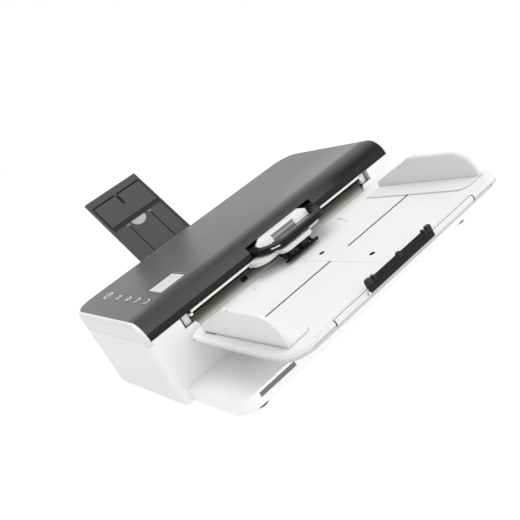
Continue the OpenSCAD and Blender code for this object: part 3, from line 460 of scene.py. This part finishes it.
def plaque(size, thick, corner=0.0, edge=0.0, steps=4):
    # flat plate with rounded corners, underside on z = 0
    clearSelection()
    bpy.ops.mesh.primitive_plane_add(size=1)
    bpy.ops.object.mode_set(mode="EDIT")
    bpy.ops.mesh.select_all(action="SELECT")
    bpy.ops.transform.resize(value=(size[0] * mm, size[1] * mm, 1))
    if corner:
        bpy.ops.mesh.bevel(offset=corner * mm, segments=steps, affect="VERTICES")
    return thicken(thick, edge)


def circle(radius, points):
    # filled outline, left selected in edit mode
    clearSelection()
    bpy.ops.mesh.primitive_circle_add(vertices=points, radius=radius * mm, fill_type="NGON")
    bpy.ops.object.mode_set(mode="EDIT")
    bpy.ops.mesh.select_all(action="SELECT")


def disc(radius, thick, edge=0.0, points=40, keep=None, hole=0.0):
    # round plate, with a hole, or only the part of it that keep() names
    circle(radius, points)
    if hole:
        bpy.ops.mesh.inset(thickness=(radius - hole) * mm, depth=0)
        bpy.ops.mesh.delete(type="FACE")
    if keep:
        pickFaces(lambda centre, normal: not keep(centre / mm))
        bpy.ops.mesh.delete(type="FACE")
    return thicken(thick, edge)


def halfDisc(radius, thick, edge):
    # half a round plate, its flat side on y = 0 and its belly towards -y
    circle(radius, 48)
    bpy.ops.mesh.bisect(plane_co=(0, 0, 0), plane_no=(0, 1, 0), use_fill=False, clear_outer=True)
    return thicken(thick, edge)


def joined(parts):
    clearSelection()
    for part in parts:
        part.select_set(True)
    bpy.context.view_layer.objects.active = parts[0]
    if len(parts) > 1:
        bpy.ops.object.join()
    return bpy.context.object


def moved(piece, place=(0, 0, 0), turn=(0, 0, 0)):
    # turn in degrees about the piece's own zero, then to its place in metres
    clearSelection()
    piece.select_set(True)
    bpy.context.view_layer.objects.active = piece
    piece.rotation_euler = [math.radians(a) for a in turn]
    piece.location = place
    bpy.ops.object.transform_apply(location=True, rotation=True, scale=True)
    return piece


def settle(piece, name, finishName, body):
    piece.name = piece.data.name = name
    piece.data.materials.clear()
    piece.data.materials.append(finishes[finishName].material)
    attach(piece, body)


def twin(piece):
    # a copy with its own mesh
    clearSelection()
    made = piece.copy()
    made.data = piece.data.copy()
    bpy.context.scene.collection.objects.link(made)
    return made


def bar(start, end, width, thick):
    # straight stroke between two points on z = 0
    run = Vector((end[0] - start[0], end[1] - start[1]))
    made = plaque((run.length, width), thick, corner=width * .3, steps=2)
    return moved(made, Vector((start[0] + end[0], start[1] + end[1], 0)) * .5 * mm,
                 (0, 0, math.degrees(math.atan2(run.y, run.x))))


def flatPanel(box, low, thick, corner=0.0, edge=0.0):
    # level plate over a box of x and y
    x0, x1, y0, y1 = box
    return moved(plaque((x1 - x0, y1 - y0), thick, corner, edge), at((x0 + x1) / 2, (y0 + y1) / 2, low))


def wallPanel(box, faceY, thick, corner=0.0, edge=0.0):
    # upright plate over a box of x and z, its face towards the front
    x0, x1, z0, z1 = box
    return moved(plaque((x1 - x0, z1 - z0), thick, corner, edge), at((x0 + x1) / 2, faceY, (z0 + z1) / 2),
                 (90, 0, 0))


sides = ((-1, "left"), (1, "right"))


def mirrored(side, run):
    return sorted(side * x for x in run)


# key signs: pale strokes on each key, with a short shadow behind them
keySigns = dict(
    x=-161.0, z=lidTop + .15, width=1.5, thick=.10, grow=1.32, shadow=(.5, 1.1, -.05), shadowGrow=1.16,
    keys=dict(
        power_key=dict(y=172.5, ring=(5.45, 3.9), strokes=[((0, 0), (4.6, 0))]),
        first_key=dict(y=136.5, strokes=[((-3.2, -3.0), (3.2, 3.0)), ((-3.2, 3.0), (3.2, -3.0))]),
        second_key=dict(y=106.0, strokes=[((-3.8, 1.8), (3.8, 1.8)), ((-3.8, 1.8), (0, -3.4)),
                                          ((3.8, 1.8), (0, -3.4))]),
        third_key=dict(y=78.5, strokes=[((-4.2, 1.1), (4.0, -1.1)), ((1.0, 2.6), (4.0, -1.1))]),
        fourth_key=dict(y=53.0, strokes=[((-4.0, 2.0), (0, -2.4)), ((4.0, 2.0), (0, -2.4))])))


def keySign(spec, grow, shift=(0, 0, 0)):
    thick = keySigns["thick"]
    parts = []
    if "ring" in spec:
        outer, inner = spec["ring"]
        parts.append(disc(outer * grow, thick, hole=inner * grow))
    for start, end in spec["strokes"]:
        parts.append(bar(Vector(start) * grow, Vector(end) * grow, keySigns["width"] * grow, thick))
    return moved(joined(parts), at(keySigns["x"] + shift[0], spec["y"] + shift[1], keySigns["z"] + shift[2]))


for keyName, spec in keySigns["keys"].items():
    shadow = keySign(spec, keySigns["shadowGrow"], keySigns["shadow"])
    settle(shadow, keyName + "_sign_shadow", "shadowInk", keyName)
    settle(keySign(spec, keySigns["grow"]), keyName + "_sign", "signInk", keyName)
print("key signs made")

# display: pale panel under the window's edge lines, dark lines and two glints that are painted highlights
display = dict(low=lidTop - .2, panel=dict(box=(-142.6, -107.4, 48.5, 83.0), thick=.16, corner=.5, edge=.05),
               lineThick=.22, lineCorner=.2, lines=[
                   dict(name="display_rear_line", box=(-143.6, -106.4, 83.3, 84.9), finish="shadowInk"),
                   dict(name="display_right_line", box=(-107.2, -105.9, 46.3, 83.2), finish="shadowInk"),
                   dict(name="display_right_glint", box=(-105.4, -104.3, 46.3, 85.6), finish="lightTrim"),
                   dict(name="display_left_glint", box=(-143.7, -142.7, 47.0, 83.2), finish="lightTrim")])
settle(flatPanel(low=display["low"], **display["panel"]), "display_panel", "displayPanel", "lid")
for line in display["lines"]:
    settle(flatPanel(line["box"], display["low"], display["lineThick"], display["lineCorner"]), line["name"],
           line["finish"], "lid")
print("display made")

# latch: finger slot with painted shade along its upper edge and the handle's painted shadow at its foot,
# flush fill above it, a painted highlight round the bowed handle
latchTrim = dict(x=10.5, rollCentre=(27.0, 86.5), corner=.5, edge=.1, plates=[
    dict(name="latch_slot_fill", size=(36.6, 3.6), thick=.6, radius=22.55, z=98.6, finish="paintedLightTrim"),
    dict(name="latch_slot_back", size=(36.0, 4.6), thick=.5, radius=22.95, z=94.2, finish="paleInlay"),
    # the foot: the handle's painted shadow
    dict(name="latch_slot_handle_shadow", size=(36.0, 4.6), thick=.5, radius=22.95, z=90.1, finish="slotGrey"),
    dict(name="latch_slot_shade", size=(36.0, 2.2), thick=.5, radius=23.2, z=95.6, finish="slotGrey")],
    handleGlint=dict(tall=1.7, thick=.2, corner=.3, z=94.1, run=[(-41.9, -22.7), (-37.96, -27.24), (-33.3, -30.15)]))


def onRoll(piece, radius, z):
    # flat piece laid against the rolled front at a height
    y0, z0 = latchTrim["rollCentre"]
    lean = math.asin((z - z0) / radius)
    return moved(piece, at(latchTrim["x"], y0 - radius * math.cos(lean), z), (90 - math.degrees(lean), 0, 0))


for spec in latchTrim["plates"]:
    plate = plaque(spec["size"], spec["thick"], latchTrim["corner"], latchTrim["edge"])
    settle(onRoll(plate, spec["radius"], spec["z"]), spec["name"], spec["finish"], "lid")
# painted highlight on the bowed handle's front
handleGlint = latchTrim["handleGlint"]
strokes = []
for (x0, y0), (x1, y1) in zip(handleGlint["run"], handleGlint["run"][1:]):
    stroke = plaque((math.hypot(x1 - x0, y1 - y0), handleGlint["tall"]), handleGlint["thick"], handleGlint["corner"])
    stroke = moved(stroke, turn=(90, 0, 0))
    strokes.append(moved(stroke, at(latchTrim["x"] + (x0 + x1) / 2, (y0 + y1) / 2, handleGlint["z"]),
                         (0, 0, math.degrees(math.atan2(y1 - y0, x1 - x0)))))
settle(joined(strokes), "latch_handle_glint", "signInk", "latch")
print("latch trim made")

# tray, on both sides: dark floor and liners in the slot as painted shade inside it, fill of the lip's groove,
# end mark of the extension, pivot, low skirt under the rim and round its front corner, small rib
lipGroove = (-195.38, -194.82)  # from front to rear
trayTrim = dict(
    floor=dict(x=(13, 131), y=(-100.5, -87.5), low=trayZ - 8, thick=.3, corner=1.0),
    slot=dict(x=(14.1, 142.8), walls=[(-95.3, -95.16), (-92.84, -92.7)], low=trayZ - 2.95, tall=2.9),
    lip=dict(x=(105.2, 136), y=lipGroove, low=trayZ - 1.5, tall=1.5),
    gap=dict(x=105.8, width=1.0, thick=.08, marks=[dict(tall=3.0, y=-197.15, z=trayZ - .75, lean=45),
                                                   dict(tall=4.6, y=-198.0, z=trayZ - 3.6, lean=90)]),
    pivot=dict(x=161.0, y=-15.0, z=65.4, radius=1.1, thick=.25, edge=.08, points=20),
    skirt=dict(x=(159.4, 160.5), y=(-173.0, -22.0), low=60.3, tall=2.9, cornerX=136.0, outer=24.5, inner=23.4,
               points=96),
    rib=dict(x=(71.3, 72.7), y=(-23, -15.5), tall=.8, corner=.6, edge=.3))
for side, name in sides:
    # dark floor and liners: painted shade inside the slot
    spec = trayTrim["floor"]
    floor = flatPanel((*mirrored(side, spec["x"]), *spec["y"]), spec["low"], spec["thick"], spec["corner"])
    settle(floor, name + "_slot_floor", "blackPlastic", "input_tray")
    spec = trayTrim["slot"]
    walls = [flatPanel((*mirrored(side, spec["x"]), *y), spec["low"], spec["tall"]) for y in spec["walls"]]
    settle(joined(walls), name + "_slot_liner", "shadowInk", "input_tray")
    spec = trayTrim["lip"]
    fill = flatPanel((*mirrored(side, spec["x"]), *spec["y"]), spec["low"], spec["tall"])
    settle(fill, name + "_lip_fill", "whiteShell", "input_tray")
    spec = trayTrim["gap"]
    marks = []
    for mark in spec["marks"]:
        film = plaque((spec["width"], mark["tall"]), spec["thick"])
        marks.append(moved(film, at(side * spec["x"], mark["y"], mark["z"]), (mark["lean"], 0, 0)))
    settle(joined(marks), name + "_extension_gap", "shadowInk", "input_tray")
    spec = trayTrim["pivot"]
    pivot = moved(disc(spec["radius"], spec["thick"], spec["edge"], spec["points"]),
                  at(side * spec["x"], spec["y"], spec["z"]), (0, 90 * side, 0))
    settle(pivot, name + "_tray_pivot", "slotGrey", "input_tray")
    spec = trayTrim["skirt"]
    run = flatPanel((*mirrored(side, spec["x"]), *spec["y"]), spec["low"], spec["tall"])
    bend = disc(spec["outer"], spec["tall"], hole=spec["inner"], points=spec["points"],
                keep=lambda centre: centre.x * side > 0 and centre.y < 0)
    bend = moved(bend, at(side * spec["cornerX"], spec["y"][0], spec["low"]))
    settle(joined([run, bend]), name + "_tray_skirt", "trayBand", "input_tray")
    spec = trayTrim["rib"]
    rib = flatPanel((*mirrored(side, spec["x"]), *spec["y"]), trayZ, spec["tall"], spec["corner"],
                    spec["edge"])
    settle(rib, name + "_tray_rib", "whiteShell", "input_tray")

# tray, in the middle: faint arc, plugs and collars of the two holes, line of the strip, dark line at the lip
arcTrim = dict(outer=28.4, inner=27.4, thick=.06, points=96, x=42.7, y=-21.4, keptX=12, keptY=(-20, 6))
arc = disc(arcTrim["outer"], arcTrim["thick"], hole=arcTrim["inner"], points=arcTrim["points"],
           keep=lambda centre: centre.x > arcTrim["keptX"]
           and arcTrim["keptY"][0] < centre.y < arcTrim["keptY"][1])
settle(moved(arc, at(arcTrim["x"], arcTrim["y"], trayZ)), "tray_arc", "faintLine", "input_tray")
holeTrim = dict(y=dict(rear=-62.7, front=-146.4),
                plug=dict(low=trayZ - 1.4, form=dict(radius=2.36, thick=1.2, edge=.2, hole=.9)),
                collar=dict(low=trayZ - .02, form=dict(radius=3.3, thick=.25, edge=.1, hole=1.5)))
for name, y in holeTrim["y"].items():
    for part in ("plug", "collar"):
        ring = moved(disc(**holeTrim[part]["form"]), at(0, y, holeTrim[part]["low"]))
        settle(ring, name + "_hole_" + part, "blackPlastic", "input_tray")
stripTrim = dict(box=(-15.6, -14.9, -176, -44), thick=.05)
settle(flatPanel(stripTrim["box"], trayZ, stripTrim["thick"]), "tray_strip_line", "faintLine", "input_tray")
lipTrim = dict(x=(-104.8, 104.8), groove=dict(y=lipGroove, low=trayZ - 1.5, tall=1.45),
               film=dict(y=(-195.5, -194.7), low=trayZ - .04, tall=.09))
lip = [flatPanel((*lipTrim["x"], *spec["y"]), spec["low"], spec["tall"])
       for spec in (lipTrim["groove"], lipTrim["film"])]
settle(joined(lip), "middle_lip_line", "shadowInk", "tray_extension")

# flexible strip on the tray's rear edge, and the foot of the ramp behind it, so that sheets cross no gap
sealTrim = dict(x=(-139.0, 139.0), seal=dict(y=(-2.6, 2.55), low=trayZ - 1.0, thick=1.0, corner=.4, edge=.2),
                foot=dict(y=(3.05, 6.1), low=trayZ - 1.65, thick=1.65, corner=.2, edge=.1))
for part, name, finish, body in (("seal", "tray_rear_seal", "trayShell", "input_tray"),
                                 ("foot", "ramp_foot", "paintedShadeRamp", "base")):
    spec = sealTrim[part]
    strip = flatPanel((*sealTrim["x"], *spec["y"]), spec["low"], spec["thick"], spec["corner"], spec["edge"])
    settle(strip, name, finish, body)

# mouth: black felt along the lower edge of the lid's front strip, painted shade under the strip
mouthTrim = dict(x=(53.0, 140.5), z=(82.1, 85.2), faceY=3.2, thick=.25, corner=.8, edge=.1)
for side, name in sides:
    felt = wallPanel((*mirrored(side, mouthTrim["x"]), *mouthTrim["z"]), mouthTrim["faceY"],
                     mouthTrim["thick"], mouthTrim["corner"], mouthTrim["edge"])
    settle(felt, name + "_mouth_shade_felt", "mouthShadeFelt", "lid")

# paper lever: a small black flag lying on the ramp
lever = dict(size=(8.5, 5.5), thick=.9, corner=1.6, edge=.3, place=(-63.0, 10.8, 74.0), lean=46.3)
flag = plaque(lever["size"], lever["thick"], lever["corner"], lever["edge"])
settle(moved(flag, at(*lever["place"]), (lever["lean"], 0, 0)), "paper_lever_flag", "blackPlastic", "base")

# platform: grey backs in the two grip slits
gripTrim = dict(x=(116.5, 167.5), z=(11.0, 17.5), faceY=-106.9, thick=.4, corner=.4)
for side, name in sides:
    back = wallPanel((*mirrored(side, gripTrim["x"]), *gripTrim["z"]), gripTrim["faceY"], gripTrim["thick"],
                     gripTrim["corner"])
    settle(back, name + "_grip_back", "slotGrey", "base")

# end stop: collars with rounded tops, two fine ribs on the front and a bead along the top
stopTrim = dict(
    centre=-11.0, y=-199.8, top=trayZ + 8.5,
    collar=dict(y=-199.2, corner=.42, edge=.26, steps=6), collars=[
        dict(name="left", x=-44.6, size=(7.4, 6.6), tall=6.4, rise=1.9),
        dict(name="inner_left", x=-37.6, size=(3.6, 6.2), tall=5.2, rise=1.2),
        dict(name="middle", x=0, size=(5.4, 5.8), tall=5.0, rise=1.5),
        dict(name="inner_right", x=37.6, size=(3.6, 6.2), tall=5.2, rise=1.2),
        dict(name="right", x=44.6, size=(7.4, 6.6), tall=6.4, rise=1.9)],
    rib=dict(half=(47.0, .35), faceY=-200.99, thick=.22, corner=.3, edge=.08),
    ribs=dict(lower=70.2, upper=73.0),
    bead=dict(size=(84, 1.5), thick=.5, corner=.6, edge=.3, sink=.15))
form = stopTrim["collar"]
for spec in stopTrim["collars"]:
    narrow = min(spec["size"])
    block = plaque(spec["size"], spec["tall"], narrow * form["corner"], narrow * form["edge"], form["steps"])
    low = stopTrim["top"] - spec["tall"] + spec["rise"]
    settle(moved(block, at(stopTrim["centre"] + spec["x"], form["y"], low)),
           "stop_" + spec["name"] + "_collar", "collarPlastic", "end_stop")
form = stopTrim["rib"]
halfX, halfZ = form["half"]
for name, z in stopTrim["ribs"].items():
    box = (stopTrim["centre"] - halfX, stopTrim["centre"] + halfX, z - halfZ, z + halfZ)
    rib = wallPanel(box, form["faceY"], form["thick"], form["corner"], form["edge"])
    settle(rib, "stop_" + name + "_rib", "handlePlastic", "end_stop")
spec = stopTrim["bead"]
bead = moved(plaque(spec["size"], spec["thick"], spec["corner"], spec["edge"]),
             at(stopTrim["centre"], stopTrim["y"], stopTrim["top"] - spec["sink"]))
settle(bead, "stop_top_bead", "handlePlastic", "end_stop")
print("tray trim made")

# rear tray: u runs across its slope, v up the slope and w away from it
slope = dict(origin=(-28, 224, 70), angle=50.0)


def onSlope(piece, u, v, w):
    a = math.radians(slope["angle"])
    x, y, z = slope["origin"]
    place = at(x + u, y + v * math.cos(a) - w * math.sin(a), z + v * math.sin(a) + w * math.cos(a))
    return moved(piece, place, (slope["angle"], 0, 0))


def slopePanel(box, w, thick, corner=0.0, edge=0.0, under=False):
    # plate over a box of u and v, on the slope or hanging under it
    u0, u1, v0, v1 = box
    made = plaque((u1 - u0, v1 - v0), thick, corner, edge)
    if under:
        moved(made, turn=(180, 0, 0))
    return onSlope(made, (u0 + u1) / 2, (v0 + v1) / 2, w)


# lines, grip band and its step, finger half-moon, ribs on the back, marks and grooves
rearTrim = dict(
    plate=1.0, panel=2.3, floor=.2, line=dict(thick=.12, corner=.3), lines=dict(
        rear_left_slot_line=(-41.8, -2.6, 150.2, 153.2),
        rear_right_slot_line=(1.4, 41.8, 150.2, 153.2),
        rear_stub_line=(-1.9, 1.9, 131.0, 149.8),
        rear_left_edge_line=(-42.5, -40.7, 109.5, 150.1),
        rear_right_edge_line=(41.6, 42.4, 109.5, 150.5)),
    band=dict(width=85.2, low=(104.5, .6), high=(109.0, 2.3), thick=.12),
    step=dict(box=(-42.6, 42.6, 101.05, 103.95), thick=.10),
    moonV=101.0, bed=dict(radius=14.5, thick=.5, edge=.1), moon=dict(radius=12.4, thick=.3, edge=.12),
    moonU=-1.3, moonW=.55,
    rib=dict(width=2.2, tall=.95, corner=.8, edge=.3, w=-2.45), ribU=(-31, 31), ribV=(16, 144),
    crossV=(16, 58, 101, 144),
    mark=dict(u=(16.6, 22.5), v=(97.6, 100.6), thick=.10, corner=.4),
    groove=dict(u=(18.85, 20.15), v=(8.1, 95.9), thick=.15))
for name, box in rearTrim["lines"].items():
    settle(slopePanel(box, rearTrim["panel"], **rearTrim["line"]), name, "shadowInk", "rear_tray_extension")
spec = rearTrim["band"]
(v0, w0), (v1, w1) = spec["low"], spec["high"]
band = moved(plaque((spec["width"], math.hypot(v1 - v0, w1 - w0)), spec["thick"]),
             turn=(math.degrees(math.atan2(w1 - w0, v1 - v0)), 0, 0))
settle(onSlope(band, 0, (v0 + v1) / 2, (w0 + w1) / 2), "rear_grip_band", "hatchedBand", "rear_tray_extension")
step = slopePanel(rearTrim["step"]["box"], rearTrim["plate"], rearTrim["step"]["thick"])
settle(step, "rear_grip_step", "hatchedBand", "rear_tray")
bed = onSlope(halfDisc(**rearTrim["bed"]), 0, rearTrim["moonV"], rearTrim["floor"])
settle(bed, "rear_moon_bed", "rearTrayPlastic", "rear_tray")
moon = onSlope(halfDisc(**rearTrim["moon"]), rearTrim["moonU"], rearTrim["moonV"], rearTrim["moonW"])
settle(moon, "rear_half_moon", "paleInlay", "rear_tray")
spec = rearTrim["rib"]
half = spec["width"] / 2
runs = [(u, u, *rearTrim["ribV"]) for u in rearTrim["ribU"]]
runs += [(*rearTrim["ribU"], v, v) for v in rearTrim["crossV"]]
ribs = [slopePanel((u0 - half, u1 + half, v0 - half, v1 + half), spec["w"], spec["tall"], spec["corner"],
                   spec["edge"], under=True) for u0, u1, v0, v1 in runs]
settle(joined(ribs), "rear_tray_ribs", "rearTrayPlastic", "rear_tray")
for side, name in sides:
    spec = rearTrim["mark"]
    mark = slopePanel((*mirrored(side, spec["u"]), *spec["v"]), rearTrim["plate"], spec["thick"],
                      spec["corner"])
    settle(mark, "rear_" + name + "_mark", "slotGrey", "rear_tray")
    spec = rearTrim["groove"]
    groove = slopePanel((*mirrored(side, spec["u"]), *spec["v"]), rearTrim["floor"], spec["thick"])
    settle(groove, "rear_" + name + "_groove", "shadowInk", "rear_tray")
print("rear tray trim made")

# guides: small grey pip on each top edge, joint lines under each wall as painted shade of the gap there,
# darkest at the rear
guideTrim = dict(pip=dict(x=147.55, y=-98.6, z=trayZ + 33.8,
                          form=dict(radius=1.9, thick=.25, edge=.08, points=24)),
                 joint=dict(x=149.96, z=trayZ + .78, tall=1.0, thick=.12),
                 joints=[dict(part="rear", y=(-48, -25), finish="shadowInk"),
                         dict(part="front", y=(-174, -48.2), finish="faintLine")])
for side, name in sides:
    body = name + "_guide"
    spec = guideTrim["pip"]
    pip = moved(disc(**spec["form"]), at(side * spec["x"], spec["y"], spec["z"]))
    settle(pip, body + "_pip", "paleInlay", body)
    spec = guideTrim["joint"]
    # painted shade of the gap under the wall
    for joint in guideTrim["joints"]:
        y0, y1 = joint["y"]
        strip = moved(plaque((y1 - y0, spec["tall"]), spec["thick"]), turn=(90, 0, 90 * side))
        strip = moved(strip, at(side * spec["x"], (y0 + y1) / 2, spec["z"]))
        settle(strip, body + "_joint_" + joint["part"], joint["finish"], body)
print("guide trim made")

# back: three columns of louvres
louvreTrim = dict(size=(34, 2.2), thick=.35, corner=1.0, edge=.12, x=(-150, -108, 150), y=218.95,
                  z=(24, 30, 36, 42, 48))
louvre = moved(plaque(louvreTrim["size"], louvreTrim["thick"], louvreTrim["corner"], louvreTrim["edge"]),
               turn=(90, 0, 180))
for column, x in enumerate(louvreTrim["x"], 1):
    for row, z in enumerate(louvreTrim["z"], 1):
        settle(moved(twin(louvre), at(x, louvreTrim["y"], z)), "rear_louvre_%d%d" % (column, row),
               "blackPlastic", "base")
bpy.data.objects.remove(louvre)

# underside: screws, their cross recess drawn as dark strokes, painted shade
screwTrim = dict(radius=3.4, tall=1.1, dome=.5, points=32, flat=.9, rim=.4, sink=.25,
                 cross=dict(half=1.7, width=.7, thick=.12, low=.86), low=4.05,
                 places=[(-170, 20), (170, 20), (-170, 190), (170, 190), (0, -95), (0, 205)])


def screwHead():
    made = disc(screwTrim["radius"], screwTrim["tall"], screwTrim["dome"], screwTrim["points"])
    pickFaces(lambda centre, normal: normal.z > .9)  # the top of the dome
    bpy.ops.mesh.inset(thickness=screwTrim["flat"] * mm, depth=0)
    bpy.ops.mesh.inset(thickness=screwTrim["rim"] * mm, depth=-screwTrim["sink"] * mm)
    bpy.ops.object.mode_set(mode="OBJECT")
    return made


def screwCross():
    # dark strokes: the cross recess as painted shade
    spec = screwTrim["cross"]
    reach = spec["half"]
    strokes = [bar(start, end, spec["width"], spec["thick"])
               for start, end in (((-reach, 0), (reach, 0)), ((0, -reach), (0, reach)))]
    return moved(joined(strokes), (0, 0, spec["low"] * mm))


head, cross = screwHead(), screwCross()
for count, (x, y) in enumerate(screwTrim["places"], 1):
    for pattern, ending, finish in ((head, "", "brushedSteel"), (cross, "_cross", "shadowInk")):
        settle(moved(twin(pattern), at(x, y, screwTrim["low"]), (180, 0, 0)),
               "pan_screw_%d%s" % (count, ending), finish, "base")
for pattern in (head, cross):
    bpy.data.objects.remove(pattern)
print("back and underside trim made")

# studio: pale floor, one large soft light from above and a fill from the front
studio = dict(
    floor=12.0, floorColour=(.30, .30, .30), floorShade=.99, floorGrain=.4, floorRough=.9, floorGlow=.78,
    sky=(1.0, 1.0, 1.0), skyPower=1.0, skyLeft=.62, skyTurn=(-.7, 0), lights=[
        dict(name="topSoft", place=(0.25, 0.35, 1.9), aim=(0, -.05, .05), size=(1.8, 1.0), power=10),
        dict(name="frontFill", place=(0.7, -1.7, 0.7), aim=(0, 0, .05), size=(1.6, 0.8), power=4)])
clearSelection()
bpy.ops.mesh.primitive_plane_add(size=studio["floor"], location=(0, 0, 0))
floor = bpy.context.object
floor.name = "studioFloor"
paper = Finish("floorPaper", None)
paper.set(colour=paper.blend(paper.noise(studio["floorGrain"], 3.0),
                             shaded(studio["floorColour"], studio["floorShade"]), studio["floorColour"]),
          rough=studio["floorRough"], glow=(1, 1, 1), glowPower=studio["floorGlow"])
floor.data.materials.append(paper.material)

# sky: dimmer on the left, and plain white where the camera sees it behind the floor
world = bpy.data.worlds.new("studioSky")
bpy.context.scene.world = world
world.use_nodes = True
heaven = world.node_tree
background = heaven.nodes["Background"]
split = heaven.nodes.new("ShaderNodeSeparateXYZ")
heaven.links.new(heaven.nodes.new("ShaderNodeTexCoord").outputs["Generated"], split.inputs[0])
eastward = Wire(heaven, split.outputs[0]).between(*studio["skyTurn"])
dimmed = eastward * (studio["skyPower"] - studio["skyLeft"]) + studio["skyLeft"]
seen = Wire(heaven, heaven.nodes.new("ShaderNodeLightPath").outputs["Is Camera Ray"])
plug(heaven, background.inputs["Color"], studio["sky"])
plug(heaven, background.inputs["Strength"], dimmed * (1 - seen) + seen)
for spec in studio["lights"]:
    lamp = bpy.data.lights.new(spec["name"], "AREA")
    lamp.shape, lamp.size, lamp.size_y, lamp.energy = "RECTANGLE", *spec["size"], spec["power"]
    holder = bpy.data.objects.new(spec["name"], lamp)
    bpy.context.scene.collection.objects.link(holder)
    holder.location = spec["place"]
    aim = Vector(spec["aim"]) - Vector(spec["place"])
    holder.rotation_euler = aim.to_track_quat("-Z", "Y").to_euler()
print("studio ready")
